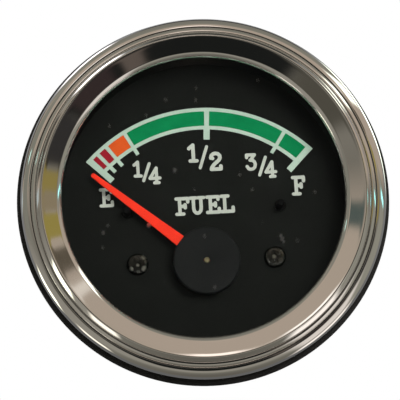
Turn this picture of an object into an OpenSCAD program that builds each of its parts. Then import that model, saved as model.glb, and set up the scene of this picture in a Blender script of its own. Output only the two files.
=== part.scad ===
// Round panel fuel gauge: an electric needle instrument for a drilled dashboard.
// The origin is on the gauge's axis, in the face of the panel that the gasket lies against.
// The dial looks along -Y and +Z is up. Each sub-part is drawn with its axis on local Z,
// positive towards the reader and zero at the panel face, and then turned by facing_reader().

/* [Panel fit] */
// Diameter of the hole that the panel is drilled to
panel_hole_d = 52; // [50:0.5:54]
// Radial play of the case in the panel hole
pilot_play = 0.25; // [0.1:0.05:0.5]
// Length of the turned front of the case that fills the panel hole
pilot_len = 8; // [4:1:12]
// Radial width of the rubber gasket
gasket_w = 3.7; // [3.2:0.1:6]
// Thickness of the rubber gasket
gasket_t = 1.4; // [0.8:0.1:2.4]
// Depth of the case behind the panel face
case_depth = 30; // [28:1:45]
// Wall of the pressed case
case_t = 0.6; // [0.4:0.1:1]

/* [Bezel] */
// Reach of the bezel's lip inwards past the bore of the case
lip_reach = 2.55; // [2.2:0.01:2.8]
// Thickness of the sheet that the bezel is rolled from
sheet_t = 0.5; // [0.4:0.05:0.6]
// Radial width of the outer bead
bead_w = 1.42; // [1.2:0.02:1.6]
// Radial width of the narrow second bead
ring_w = 1.2; // [1.1:0.02:1.5]
// Radius of the shoulder outside the plain band
shoulder_r = 0.75; // [0.6:0.05:0.9]
// Width of the plain sloping band
band_w = 2.1; // [1.6:0.1:2.8]
// Inward slope of the plain band, in degrees
band_slope = 12.5; // [4:0.5:18]
// Radial width of the lip that rolls down to the glass
lip_w = 1.15; // [0.9:0.05:1.4]

/* [Glass and dial] */
// Thickness of the glass
glass_t = 1.5; // [1.2:0.1:2.4]
// Free depth between the glass and the dial
dial_depth = 5.1; // [4.6:0.1:7]
// Thickness of the dial plate
dial_t = 0.8; // [0.5:0.1:1.2]
// Thickness of the printed ink
ink_t = 0.06; // [0.04:0.01:0.12]
// Height of the needle's pivot below the gauge's axis
pivot_drop = 9.9; // [8:0.1:10.5]
// Spread of the two dial screws
screw_spread = 22.2; // [21:0.2:26]
// Diameter of the dial screws' heads
screw_head_d = 3.5; // [3:0.1:4]

/* [Scale] */
// Outer radius of the printed scale, from the pivot
scale_r = 25.6; // [24:0.1:26.5]
// Radial width of the printed scale, with its white rims
scale_w = 3.6; // [3:0.1:5]
// Width of the white rims and thin division lines
rim_w = 0.6; // [0.5:0.05:1]
// Width of the lines at empty, half and full
main_line_w = 1; // [0.8:0.05:1.2]
// Needle angle of the empty mark, from upright, in degrees
empty_angle = -45.5; // [-46:0.5:-43]
// Needle angle of the full mark, from upright, in degrees
full_angle = 44.6; // [42:0.1:50]
// Needle angle at rest on the empty stop, in degrees
rest_angle = -49.7; // [-51:0.1:-49]

/* [Needle] */
// Reach of the needle from the pivot
needle_r = 23.3; // [21:0.1:25]
// Width of the needle where it leaves the hub cap
needle_root_w = 1.9; // [1.4:0.1:2.2]
// Width of the needle at its tip
needle_tip_w = 0.75; // [0.5:0.05:1]
// Thickness of the needle
needle_t = 0.4; // [0.3:0.05:0.5]
// Diameter of the hub cap
cap_d = 10.8; // [9:0.2:12]
// Height of the hub cap
cap_h = 1.8; // [1.6:0.1:2.1]
// Diameter of the needle's spindle
spindle_d = 0.9; // [0.7:0.05:1.1]
// Running clearance of the spindle in its bearings, on the radius
spindle_play = 0.05; // [0.02:0.01:0.08]
// Distance of the stop pins from the pivot
stop_r = 15.2; // [14:0.1:17]
// Diameter of the stop pins
stop_d = 1.2; // [1:0.1:1.6]

/* [Movement] */
// Side of the square bobbin
bobbin_w = 14.4; // [14:0.1:14.6]
// Height of the bobbin along the spindle
bobbin_h = 9; // [8.6:0.1:9.4]
// Thickness of each winding
coil_t = 1.3; // [1:0.05:1.35]
// Width of each of the four windings
coil_w = 3.9; // [3:0.1:4]
// Diameter of the magnet
magnet_d = 10; // [9:0.1:10.6]
// Thickness of the magnet
magnet_t = 3.5; // [3:0.1:4]
// Wall of the shield tube
shield_t = 0.5; // [0.4:0.05:0.7]
// Thickness of the movement's front plate
frame_t = 1.2; // [1:0.1:1.4]
// Thickness of the movement's back plate
base_t = 1.5; // [1.2:0.1:1.8]

/* [Terminals] */
// Diameter of the terminal studs
terminal_d = 4; // [3.5:0.1:4]
// Spread of the two terminal studs
terminal_spread = 27; // [27:0.5:29]
// Height of the terminal studs below the gauge's axis
terminal_drop = 12; // [11:0.5:13]
// Free length of the terminal studs behind their nuts
terminal_free = 7.4; // [6:0.2:12]
// Width of the blade terminals
blade_w = 6.3; // [4.8:0.1:6.3]
// Thickness of the blade terminals
blade_t = 0.8; // [0.5:0.1:1]

/* [Lamp] */
// Height of the lamp holder above the gauge's axis
lamp_rise = 14; // [14:0.5:16]
// Diameter of the lamp holder's hole in the case
lamp_hole_d = 12; // [11.8:0.1:13]
// Sliding clearance of the lamp holder in its hole, on the radius
lamp_play = 0.08; // [0.05:0.01:0.15]

/* [Clamp] */
// Spread of the two clamp studs
clamp_spread = 34; // [33:0.5:36]
// Diameter of the clamp studs
clamp_stud_d = 4; // [3.5:0.1:4.2]
// Gap for the panel at rest, between the gasket and the clamp's feet
panel_gap = 6; // [6:0.5:7]
// Travel of the clamp towards the panel
clamp_travel = 4.2; // [3:0.1:4.4]
// Thickness of the clamp's strap
strap_t = 1.2; // [1:0.1:1.5]
// Width of the clamp's strap
strap_w = 12; // [10:0.5:12.4]
// Diameter of the knurled nuts
nut_d = 10; // [8:0.5:12]

/* [Hidden] */
$fn = 96;

// Extra length of a cut past the face that it opens
cut = 1;
// Gap left between two faces that are bonded, printed or seated on each other
seat = 0.02;

// Front stack, along the axis from the panel face
pilot_r = panel_hole_d / 2 - pilot_play;
land_rise = 0.55;
land_r = pilot_r + land_rise;
land_z = 0.15;
gasket_r = land_r + gasket_w;
bore_r = pilot_r - case_t;
crimp_z = gasket_t;
flange_z = crimp_z + sheet_t;
glass_seat_t = 0.6;
spacer_z = flange_z + case_t;
glass_z = spacer_z + glass_seat_t;
glass_top_z = glass_z + glass_t;
dial_z = glass_z - dial_depth;
dial_back_z = dial_z - dial_t;

// Bezel radii, from the lip outwards
lip_r = bore_r - lip_reach;
band_in_r = lip_r + lip_w;
shoulder_c_r = band_in_r + band_w;
groove_a_r = shoulder_c_r + shoulder_r;
groove_b_r = groove_a_r + ring_w;
bezel_r = groove_b_r + bead_w;
// Bezel heights
lip_gap = 0.15;
lip_z = glass_top_z + lip_gap;
lip_h = 0.93;
crease = 0.08;
// Centre of the lip's roll
lip_c_r = lip_r + lip_w - crease;
band_in_z = lip_z + lip_h + crease;
shoulder_c_z = band_in_z + band_w * tan(band_slope) - shoulder_r;
bead_low_r = 1.2;
bead_z = crimp_z + bead_low_r;
bead_drop = 0.1;
bead_peak_z = shoulder_c_z - bead_drop;
bead_half_w = 0.9;
bead_c_r = bezel_r - bead_half_w;
bead_fall = 125;
ring_drop = 0.5;
ring_z = shoulder_c_z - ring_drop;
crimp_gap = 0.6;
crimp_in_r = land_r + crimp_gap;
// Glass and its gasket, inside the bezel
glass_play = 0.16;
glass_r = groove_a_r - sheet_t - glass_play;
glass_gasket_inset = 0.2;
glass_gasket_out_r = glass_r - glass_gasket_inset;
glass_gasket_in_r = band_in_r + glass_gasket_inset / 2;
// Case
flange_r = groove_b_r;
body_step = 0.45;
body_r = pilot_r - body_step;
body_bore_r = body_r - case_t;
back_t = 0.8;
back_z = -case_depth;
back_in_z = back_z + back_t;
case_corner_r = 2;
// Spacer ring
spacer_inset = 0.35;
spacer_play = 0.25;
spacer_rim = 0.6;
spacer_in_r = lip_r + spacer_inset;
spacer_out_r = bore_r - spacer_play;
spacer_flange_r = glass_r + spacer_rim;
dial_r = spacer_out_r;

// Printed scale: needle angles of the divisions, and the inner ends of their lines
red_mark = empty_angle + 3.85;
amber_mark = empty_angle + 8.05;
quarter_mark = empty_angle + 16.6;
half_mark = (empty_angle + full_angle) / 2 + 3.75;
three_mark = full_angle - 10.95;
scale_in_r = scale_r - scale_w;
thin_reach = 1.05;
main_reach = 1.7;
thin_in_r = scale_in_r - thin_reach;
main_in_r = scale_in_r - main_reach;
colour_gap = seat;
colour_in_r = scale_in_r + rim_w;
colour_out_r = scale_r - rim_w;
// Line between two colours at the half mark
half_line_w = (rim_w + main_line_w) / 2;

// Needle and hub
needle_rise = 2.15;
needle_z = dial_z + needle_rise;
needle_top_z = needle_z + needle_t;
cap_r = cap_d / 2;
cap_wall = 0.6;
cap_rise = 0.7;
cap_top_z = needle_top_z + cap_rise;
cap_low_z = cap_top_z - cap_h;
cap_edge = 0.3;
spindle_r = spindle_d / 2;
spindle_proud = 0.1;
spindle_top_z = cap_top_z + spindle_proud;
needle_hub_r = 3.2;
needle_tail = 4.3;
// Stop pins: the needle lies against them, all but stop_gap, at each end of its swing
stop_gap = 0.12;
stop_pin_r = stop_d / 2;
needle_w_at_stop = needle_tip_w
    + (needle_root_w - needle_tip_w) * (needle_r - stop_r) / (needle_r - cap_r);
stop_angle = -rest_angle + asin((needle_w_at_stop / 2 + stop_pin_r + stop_gap) / stop_r);
stop_proud = 0.4;
stop_top_z = needle_top_z + stop_proud;
// Dial screws
screw_r = 0.9;
screw_head_r = screw_head_d / 2;
screw_head_h = 1;
screw_lift = 0.3;
screw_y = -pivot_drop + screw_lift;
screw_short = 0.2;
recess_w = 0.5;
recess_depth = 0.5;

// Movement, along the spindle from the dial to the back
pillar_h = 1.4;
pillar_r = 2.3;
frame_z = dial_back_z - pillar_h;
frame_back_z = frame_z - frame_t;
wind_gap = 0.05;
frame_gap = 0.3;
base_gap = 0.2;
level_top_z = frame_back_z - frame_gap;
upright_top_z = level_top_z - coil_t - wind_gap;
bobbin_top_z = upright_top_z - coil_t - wind_gap;
bobbin_mid_z = bobbin_top_z - bobbin_h / 2;
bobbin_low_z = bobbin_top_z - bobbin_h;
upright_low_z = bobbin_low_z - wind_gap - coil_t;
level_low_z = upright_low_z - wind_gap - coil_t;
base_z = level_low_z - base_gap;
base_back_z = base_z - base_t;
coil_in = 1.6;
coil_corner_r = 1.2;
post_w = 1.5;
tube_gap = 0.2;
tube_r = coil_in - tube_gap;
tube_bore_r = 0.9;
cavity_play = 0.5;
cavity_h = magnet_t + 3 * cavity_play;
magnet_z = bobbin_mid_z - magnet_t / 2;
journal_r = 0.25;
journal_drop = 1.15;
journal_z = bobbin_low_z - journal_drop;
journal_len = 1.1;
jewel_gap = 0.3;
jewel_top_z = journal_z - jewel_gap;
return_magnet_r = 0.7;
return_magnet_len = 1;
return_magnet_in = 1.4;
return_magnet_top_z = bobbin_low_z + return_magnet_len;
bush_r = 1.6;
bush_flange_r = 2.4;
bush_flange_t = 0.4;
shield_gap = 0.25;
shield_in_r = sqrt(2) * bobbin_w / 2 + shield_gap;
shield_r = shield_in_r + shield_t;
frame_rim = 0.3;
frame_r = shield_r + frame_rim;
lug_rim = 0.3;
lug_r = 3.4;

// Terminals
terminal_x = terminal_spread / 2;
terminal_r = terminal_d / 2;
terminal_head_r = 2.6;
terminal_head_h = 1.6;
link_t = 0.4;
link_z = base_back_z - link_t;
sleeve_r = 3.4;
sleeve_spigot_r = 2.95;
sleeve_play = 0.05;
insulator_t = 1.2;
insulator_r = 4.2;
washer_t = 0.6;
washer_r = 4;
terminal_nut_h = 2.8;
terminal_nut_af = 7;
insulator_z = back_z - insulator_t;
washer_z = insulator_z - washer_t;
terminal_nut_z = washer_z - terminal_nut_h;
relief_w = 0.6;
relief_depth = 0.2;
terminal_end_z = terminal_nut_z - relief_w - terminal_free;
resistor_r = 1.6;
resistor_len = 8;
resistor_drop = 2.6;
lead_r = 0.35;
lead_reach = 1.2;
lead_x = resistor_len / 2 + lead_reach;
// Ground blade
ground_inset = 6.1;
ground_y = ground_inset - body_r;
ground_foot_h = 6.6;
blade_len = 8;
rivet_r = 1.2;
rivet_head_r = 2;
rivet_head_h = 0.7;

// Lamp
lamp_r = lamp_hole_d / 2 - lamp_play;
lamp_wall = 0.5;
lamp_flange_w = 1.3;
lamp_flange_r = lamp_r + lamp_flange_w;
lamp_flange_t = 0.6;
lamp_flange_gap = 0.3;
lamp_flange_z = back_z - lamp_flange_gap;
lamp_reach = 6.5;
lamp_front_z = back_in_z + lamp_reach;
lamp_tail = 3;
lamp_back_z = lamp_flange_z - lamp_flange_t - lamp_tail;
lamp_disc_t = 1;
lamp_disc_top_z = lamp_back_z + lamp_disc_t;
contact_h = 0.5;
bulb_tip_h = 0.8;
bulb_base_r = 4.5;
bulb_base_z = lamp_disc_top_z + contact_h + bulb_tip_h;
bulb_base_len = 9.4;
bulb_neck_r = 3.4;
bulb_r = 4.4;

// Clamp
clamp_x = clamp_spread / 2;
clamp_stud_r = clamp_stud_d / 2;
clamp_hole_play = 0.15;
leg_gap = 1.25;
leg_in_x = pilot_r + leg_gap;
leg_x = leg_in_x + strap_t;
foot_z = -panel_gap;
strap_clear = 0.3;
strap_z = back_z - clamp_travel - strap_clear;
strap_back_z = strap_z - strap_t;
bend_r = 2.6;
spring_t = 1;
spring_r = 3.6;
spring_play = 0.2;
spring_bore_r = clamp_stud_r + spring_play;
thumb_gap = 0.05;
thumb_z = strap_back_z - spring_t - thumb_gap;
thumb_collar_h = 1.4;
thumb_collar_r = 3.6;
thumb_h = 4;
thumb_play = 0.05;
thumb_flutes = 20;
thumb_end_z = thumb_z - thumb_collar_h - thumb_h;
stud_spare = 4.5;
clamp_stud_end_z = thumb_end_z - stud_spare;
clamp_head_r = 3;
clamp_head_h = 0.8;

// Points along an arc of an ellipse
function arc(c, rx, ry, a0, a1, n) = [
    for (i = [0 : n])
        let (a = a0 + (a1 - a0) * i / n)
        [c[0] + rx * cos(a), c[1] + ry * sin(a)]
];

// Direction of a needle angle, measured clockwise from upright
function needle_dir(angle, r) = [r * sin(angle), r * cos(angle)];

module facing_reader() rotate([90, 0, 0]) children();

module at_pivot() translate([0, -pivot_drop, 0]) children();

module each_side(x, y) {
    for (side = [-1, 1])
        translate([side * x, y, 0]) children();
}

module disc(r, z0, z1) translate([0, 0, z0]) cylinder(r = r, h = z1 - z0);

module bored(r, z0, z1) translate([0, 0, z0 - cut]) cylinder(r = r, h = z1 - z0 + 2 * cut);

module tube(r_out, r_in, z0, z1) {
    difference() {
        disc(r_out, z0, z1);
        bored(r_in, z0, z1);
    }
}

module box(x0, x1, y0, y1, z0, z1) translate([x0, y0, z0]) cube([x1 - x0, y1 - y0, z1 - z0]);

// Outline of the bezel's sheet: outer skin from the crimp to the lip, then the inner skin back
module bezel_outline() {
    ring_c_r = (groove_a_r + groove_b_r) / 2;
    ring_r = ring_w / 2;
    in_r = shoulder_r - sheet_t;
    low_in_r = bead_low_r - sheet_t;
    fold_w = 0.12;
    fold_h = 0.3;
    fold_reach = 0.1;
    lip_c = [lip_c_r, lip_z];
    under_z = ring_z - sheet_t;
    outer_skin = concat(
        [[crimp_in_r, crimp_z]],
        arc([bezel_r - bead_low_r, bead_z], bead_low_r, bead_low_r, -90, 0, 8),
        arc([bead_c_r, bead_z], bezel_r - bead_c_r, bead_peak_z - bead_z, 6, bead_fall, 16),
        arc([ring_c_r, ring_z], ring_r, ring_r, 0, 180, 12),
        arc([shoulder_c_r, shoulder_c_z], shoulder_r, shoulder_r, 0, 90 + band_slope, 10),
        [[band_in_r, band_in_z]],
        arc(lip_c, lip_w - crease, lip_h, 90, 180, 10)
    );
    inner_skin = concat(
        arc(lip_c, lip_w - crease - sheet_t, lip_h - sheet_t, 180, 90, 6),
        arc([shoulder_c_r, shoulder_c_z], in_r, in_r, 90 + band_slope, 0, 6),
        [
            [shoulder_c_r + in_r + fold_w, under_z + fold_h],
            [groove_a_r, under_z],
            [groove_b_r - fold_reach, under_z]
        ],
        arc([bead_c_r, bead_z], bezel_r - bead_c_r - sheet_t, bead_peak_z - bead_z - sheet_t,
            100, 6, 10),
        arc([bezel_r - bead_low_r, bead_z], low_in_r, low_in_r, 0, -90, 6),
        [[crimp_in_r, flange_z]]
    );
    polygon(concat(outer_skin, inner_skin));
}

module bezel() {
    color([0.78, 0.77, 0.75])
        facing_reader()
            rotate_extrude() bezel_outline();
}

module glass() {
    edge = 0.2;
    color([0.75, 0.85, 0.85, 0.3])
        facing_reader()
            rotate_extrude()
                polygon([
                    [0, glass_z], [glass_r - edge, glass_z], [glass_r, glass_z + edge],
                    [glass_r, glass_top_z - edge], [glass_r - edge, glass_top_z],
                    [0, glass_top_z]
                ]);
}

// Soft ring that fills the wedge between the glass and the sloping band
module glass_gasket() {
    slope = tan(band_slope);
    under_z = lip_z + lip_h - sheet_t - seat;
    color([0.06, 0.06, 0.06])
        facing_reader()
            rotate_extrude()
                polygon([
                    [glass_gasket_in_r, glass_top_z], [glass_gasket_out_r, glass_top_z],
                    [glass_gasket_out_r, under_z + (glass_gasket_out_r - lip_c_r) * slope],
                    [glass_gasket_in_r, under_z + (glass_gasket_in_r - lip_c_r) * slope]
                ]);
}

module spacer_ring() {
    color([0.05, 0.05, 0.05])
        facing_reader()
            rotate_extrude()
                polygon([
                    [spacer_in_r, dial_z], [spacer_out_r, dial_z], [spacer_out_r, spacer_z],
                    [spacer_flange_r, spacer_z], [spacer_flange_r, glass_z],
                    [spacer_in_r, glass_z]
                ]);
}

module panel_gasket() {
    edge_flat = 0.2;
    edge_r = (gasket_t - edge_flat) / 2;
    color([0.07, 0.07, 0.07])
        facing_reader()
            rotate_extrude()
                polygon(concat(
                    [[land_r + seat, 0]],
                    arc([gasket_r - edge_r, edge_r], edge_r, edge_r, -90, 0, 5),
                    arc([gasket_r - edge_r, gasket_t - edge_r], edge_r, edge_r, 0, 90, 5),
                    [[land_r + seat, gasket_t]]
                ));
}

// Pressed steel can: flange under the bezel, land for the gasket, pilot, and closed back
module case() {
    color([0.72, 0.70, 0.62])
        facing_reader()
            difference() {
                union() {
                    disc(flange_r, flange_z, spacer_z);
                    disc(land_r, land_z, flange_z);
                    disc(pilot_r, -pilot_len, land_z);
                    disc(body_r, back_z + case_corner_r, -pilot_len);
                    disc(body_r - case_corner_r, back_z, back_z + case_corner_r);
                    translate([0, 0, back_z + case_corner_r])
                        rotate_extrude()
                            translate([body_r - case_corner_r, 0])
                                intersection() {
                                    circle(r = case_corner_r);
                                    translate([0, -case_corner_r])
                                        square(case_corner_r);
                                }
                }
                bored(body_bore_r, back_in_z + cut, spacer_z);
                bored(bore_r, -pilot_len + case_t + cut, spacer_z);
                each_side(terminal_x, -terminal_drop)
                    bored(sleeve_spigot_r + sleeve_play, back_z, back_in_z);
                each_side(clamp_x, 0) bored(clamp_stud_r, back_z, back_in_z);
                translate([0, lamp_rise, 0]) bored(lamp_hole_d / 2, back_z, back_in_z);
                translate([0, ground_y, 0]) bored(rivet_r, back_z, back_in_z);
            }
}

module dial_plate() {
    hole_play = 0.1;
    color([0.10, 0.11, 0.10])
        facing_reader()
            difference() {
                disc(dial_r, dial_back_z, dial_z);
                at_pivot() bored(bush_flange_r + hole_play, dial_back_z, dial_z);
                each_side(screw_spread / 2, screw_y)
                    bored(screw_r + hole_play, dial_back_z, dial_z);
                stop_places() bored(stop_pin_r, dial_back_z, dial_z);
            }
}

module stop_places() {
    for (angle = [-stop_angle, stop_angle])
        at_pivot() translate(needle_dir(angle, stop_r)) children();
}

// Flat ring sector about the pivot, between two needle angles
module sector(r_in, r_out, a0, a1) {
    reach = 2 * r_out;
    intersection() {
        difference() {
            circle(r = r_out, $fn = 192);
            circle(r = r_in, $fn = 192);
        }
        polygon([
            [0, 0], needle_dir(a0, reach), needle_dir((2 * a0 + a1) / 3, reach),
            needle_dir((a0 + 2 * a1) / 3, reach), needle_dir(a1, reach)
        ]);
    }
}

// Printed line along a needle angle
module tick(angle, r_in, r_out, w) {
    rotate(-angle) translate([-w / 2, r_in]) square([w, r_out - r_in]);
}

module printed() at_pivot() translate([0, 0, dial_z]) linear_extrude(ink_t) children();

// Angle that half a line covers at the middle of the colour band
function half_line(w) = atan(w / (colour_in_r + colour_out_r));

// Field between two marks, clear of the lines at its ends
module colour_window(a0, a1, play, w0 = rim_w, w1 = rim_w) {
    play_angle = atan(play / colour_in_r);
    sector(colour_in_r + play, colour_out_r - play, a0 + half_line(w0) + play_angle,
        a1 - half_line(w1) - play_angle);
}

module green_windows(play) {
    colour_window(quarter_mark, half_mark, play, w1 = half_line_w);
    colour_window(half_mark, three_mark, play, w0 = half_line_w);
    colour_window(three_mark, full_angle, play, w1 = main_line_w);
}

module red_windows(play) {
    colour_window(empty_angle, red_mark, play, w0 = main_line_w);
    colour_window(red_mark, amber_mark, play);
}

module scale_lines() {
    color([0.80, 0.88, 0.84])
        facing_reader()
            printed()
                difference() {
                    union() {
                        sector(scale_in_r, scale_r, empty_angle - half_line(main_line_w),
                            full_angle + half_line(main_line_w));
                        for (mark = [empty_angle, full_angle])
                            tick(mark, main_in_r, colour_out_r + rim_w / 2, main_line_w);
                        tick(half_mark, main_in_r, colour_in_r, main_line_w);
                        for (mark = [red_mark, amber_mark, quarter_mark, three_mark])
                            tick(mark, thin_in_r, colour_in_r, rim_w);
                    }
                    red_windows(0);
                    colour_window(amber_mark, quarter_mark, 0);
                    green_windows(0);
                }
}

module scale_green() {
    color([0.02, 0.52, 0.30])
        facing_reader()
            printed() green_windows(colour_gap);
}

module scale_amber() {
    color([0.87, 0.36, 0.15])
        facing_reader()
            printed() colour_window(amber_mark, quarter_mark, colour_gap);
}

module scale_red() {
    color([0.62, 0.13, 0.18])
        facing_reader()
            printed() red_windows(colour_gap);
}

// Pan-head screws with a cross recess, through the dial into the movement's pillars
module dial_screws() {
    dome = 0.45;
    color([0.05, 0.05, 0.05])
        facing_reader()
            each_side(screw_spread / 2, screw_y)
                difference() {
                    union() {
                        disc(screw_r, frame_back_z + screw_short, dial_z);
                        translate([0, 0, dial_z])
                            rotate_extrude()
                                polygon(concat(
                                    [[0, 0], [screw_head_r, 0]],
                                    arc([0, screw_head_h - dome], screw_head_r, dome, 0, 90, 8)
                                ));
                    }
                    for (turn = [0, 90])
                        rotate(turn)
                            box(-screw_head_r * 0.6, screw_head_r * 0.6, -recess_w / 2,
                                recess_w / 2, dial_z + screw_head_h - recess_depth,
                                dial_z + screw_head_h + cut);
                }
}

module stop_pins() {
    color([0.04, 0.04, 0.04])
        facing_reader()
            stop_places() disc(stop_pin_r, dial_back_z, stop_top_z);
}

// Flat stamped needle with its hub and a short tail, drawn at rest on the empty stop
module needle() {
    color([0.92, 0.16, 0.10])
        facing_reader()
            at_pivot()
                translate([0, 0, needle_z])
                    linear_extrude(needle_t)
                        rotate(-rest_angle)
                            difference() {
                                union() {
                                    circle(r = needle_hub_r);
                                    translate([0, needle_r - needle_tip_w / 2])
                                        circle(r = needle_tip_w / 2);
                                    polygon([
                                        [-needle_root_w / 2, 0], [needle_root_w / 2, 0],
                                        [needle_root_w / 2, cap_r],
                                        [needle_tip_w / 2, needle_r - needle_tip_w / 2],
                                        [-needle_tip_w / 2, needle_r - needle_tip_w / 2],
                                        [-needle_root_w / 2, cap_r]
                                    ]);
                                    translate([-needle_root_w / 2, -needle_tail])
                                        square([needle_root_w, needle_tail]);
                                }
                                circle(r = spindle_r);
                            }
}

// Shallow moulded cap over the needle's hub, with a notch for the needle that is open at its rim
module hub_cap() {
    notch_w = needle_root_w + 0.2;
    notch_open = 0.15;
    boss_r = 1.4;
    color([0.13, 0.14, 0.14])
        facing_reader()
            at_pivot()
                difference() {
                    union() {
                        rotate_extrude()
                            polygon(concat(
                                [[cap_r - cap_wall, cap_low_z], [cap_r, cap_low_z]],
                                arc([cap_r - cap_edge, cap_top_z - cap_edge], cap_edge,
                                    cap_edge, 0, 90, 6),
                                [
                                    [0, cap_top_z], [0, cap_top_z - cap_wall],
                                    [cap_r - cap_wall, cap_top_z - cap_wall]
                                ]
                            ));
                        disc(boss_r, needle_top_z, cap_top_z - cap_wall / 2);
                    }
                    bored(spindle_r, cap_low_z, cap_top_z);
                    rotate(-rest_angle) {
                        box(-notch_w / 2, notch_w / 2, 0, cap_d, cap_low_z - cut,
                            needle_top_z + seat);
                        box(-notch_w / 2, notch_w / 2, cap_r - notch_open, cap_d,
                            cap_low_z - cut, cap_top_z + cut);
                    }
                }
}

module spindle() {
    color([0.80, 0.68, 0.38])
        facing_reader()
            at_pivot() {
                disc(spindle_r, journal_z, spindle_top_z);
                disc(journal_r, journal_z - journal_len, journal_z);
            }
}

module magnet() {
    color([0.22, 0.21, 0.22])
        facing_reader()
            at_pivot() tube(magnet_d / 2, spindle_r, magnet_z, magnet_z + magnet_t);
}

// Moulded front plate of the movement, with the two pillars that the dial is screwed to
module movement_frame() {
    color([0.16, 0.16, 0.17])
        facing_reader()
            difference() {
                union() {
                    at_pivot() disc(frame_r, frame_back_z, frame_z);
                    each_side(screw_spread / 2, screw_y)
                        disc(pillar_r + lug_rim, frame_back_z, frame_z);
                    each_side(screw_spread / 2, screw_y)
                        disc(pillar_r, frame_z, dial_back_z);
                }
                at_pivot() bored(bush_r, frame_back_z, frame_z);
                each_side(screw_spread / 2, screw_y)
                    bored(screw_r, frame_back_z, dial_back_z);
            }
}

module front_bush() {
    color([0.80, 0.66, 0.32])
        facing_reader()
            at_pivot()
                difference() {
                    union() {
                        disc(bush_r, frame_back_z, frame_z);
                        disc(bush_flange_r, frame_z, frame_z + bush_flange_t);
                    }
                    bored(spindle_r + spindle_play, frame_back_z, frame_z + bush_flange_t);
                }
}

// One half of the bobbin: a square block with the spindle tube and four corner posts
module bobbin_half(face_z, tip_z) {
    low = min(bobbin_mid_z, face_z);
    high = max(bobbin_mid_z, face_z);
    half_w = bobbin_w / 2;
    at_pivot()
        difference() {
            union() {
                box(-half_w, half_w, -half_w, half_w, low, high);
                disc(tube_r, min(low, tip_z), max(high, tip_z));
                for (sx = [-1, 1])
                    for (sy = [-1, 1])
                        translate([sx * (half_w - post_w / 2), sy * (half_w - post_w / 2), 0])
                            box(-post_w / 2, post_w / 2, -post_w / 2, post_w / 2,
                                min(low, tip_z), max(high, tip_z));
            }
            bored(tube_bore_r, min(low, tip_z), max(high, tip_z));
            disc(magnet_d / 2 + cavity_play, bobbin_mid_z - cavity_h / 2,
                bobbin_mid_z + cavity_h / 2);
        }
}

module bobbin_front() {
    color([0.85, 0.84, 0.78])
        facing_reader() bobbin_half(bobbin_top_z, frame_back_z);
}

module bobbin_rear() {
    color([0.80, 0.79, 0.74])
        facing_reader()
            difference() {
                bobbin_half(bobbin_low_z, base_z);
                return_magnet_place() bored(return_magnet_r, bobbin_low_z, return_magnet_top_z
                    - cut);
            }
}

// Rounded square ring of wire, drawn in the plane of its loop
module winding(half_w, half_h) {
    module round_box(w, h, r) {
        union() {
            translate([-w, -h + r]) square([2 * w, 2 * h - 2 * r]);
            translate([-w + r, -h]) square([2 * w - 2 * r, 2 * h]);
            for (sx = [-1, 1])
                for (sy = [-1, 1])
                    translate([sx * (w - r), sy * (h - r)]) circle(r = r);
        }
    }
    linear_extrude(coil_w)
        difference() {
            round_box(half_w + coil_t, half_h + coil_t, coil_corner_r);
            translate([-half_w, -half_h]) square([2 * half_w, 2 * half_h]);
        }
}

// Two windings each side of the spindle tube, with their loops standing upright
module coil_upright() {
    half_h = bobbin_h / 2 + wind_gap;
    color([0.72, 0.36, 0.16])
        facing_reader()
            at_pivot()
                for (x = [-coil_in - coil_w, coil_in])
                    translate([x, 0, bobbin_mid_z])
                        rotate([90, 0, 90]) winding(bobbin_w / 2 + wind_gap, half_h);
}

// Two windings across the first pair and outside them, with their loops lying level
module coil_level() {
    half_h = bobbin_h / 2 + 2 * wind_gap + coil_t;
    color([0.62, 0.28, 0.12])
        facing_reader()
            at_pivot()
                for (y = [-coil_in, coil_in + coil_w])
                    translate([0, y, bobbin_mid_z])
                        rotate([90, 0, 0]) winding(bobbin_w / 2 + wind_gap, half_h);
}

module shield_tube() {
    color([0.55, 0.56, 0.58])
        facing_reader()
            at_pivot() tube(shield_r, shield_in_r, base_z, frame_back_z);
}

module jewel() {
    hole_r = journal_r + spindle_play;
    color([0.65, 0.10, 0.20])
        facing_reader()
            at_pivot()
                difference() {
                    disc(tube_bore_r, base_z, jewel_top_z);
                    disc(hole_r, journal_z - journal_len - jewel_gap, jewel_top_z + cut);
                }
}

// Small magnet beside the needle's magnet, which draws the needle back to empty
module return_magnet_place() {
    at_pivot() translate([0, return_magnet_in - bobbin_w / 2, 0]) children();
}

module return_magnet() {
    color([0.30, 0.30, 0.32])
        facing_reader()
            return_magnet_place() disc(return_magnet_r, bobbin_low_z, return_magnet_top_z);
}

// Insulating back plate of the movement, carried by the two terminal studs
module base_plate() {
    arm_h = 2 * lug_r;
    color([0.45, 0.28, 0.14])
        facing_reader()
            difference() {
                union() {
                    at_pivot() disc(frame_r, base_back_z, base_z);
                    each_side(terminal_x, -terminal_drop) disc(lug_r, base_back_z, base_z);
                    box(-terminal_x, terminal_x, -terminal_drop - arm_h / 2,
                        -terminal_drop + arm_h / 2, base_back_z, base_z);
                }
                each_side(terminal_x, -terminal_drop)
                    bored(terminal_r, base_back_z, base_z);
            }
}

// Brass strips on the back of the base plate, from each stud to the resistor's lead
module link_strips() {
    strip_w = 2.4;
    eye_r = 3.2;
    color([0.80, 0.66, 0.32])
        facing_reader()
            for (side = [-1, 1])
                scale([side, 1, 1])
                    difference() {
                        union() {
                            translate([terminal_x, -terminal_drop, 0])
                                disc(eye_r, link_z, base_back_z);
                            box(lead_x - strip_w / 2, terminal_x, -terminal_drop - strip_w / 2,
                                -terminal_drop + strip_w / 2, link_z, base_back_z);
                        }
                        translate([terminal_x, -terminal_drop, 0])
                            bored(terminal_r, link_z, base_back_z);
                    }
}

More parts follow.
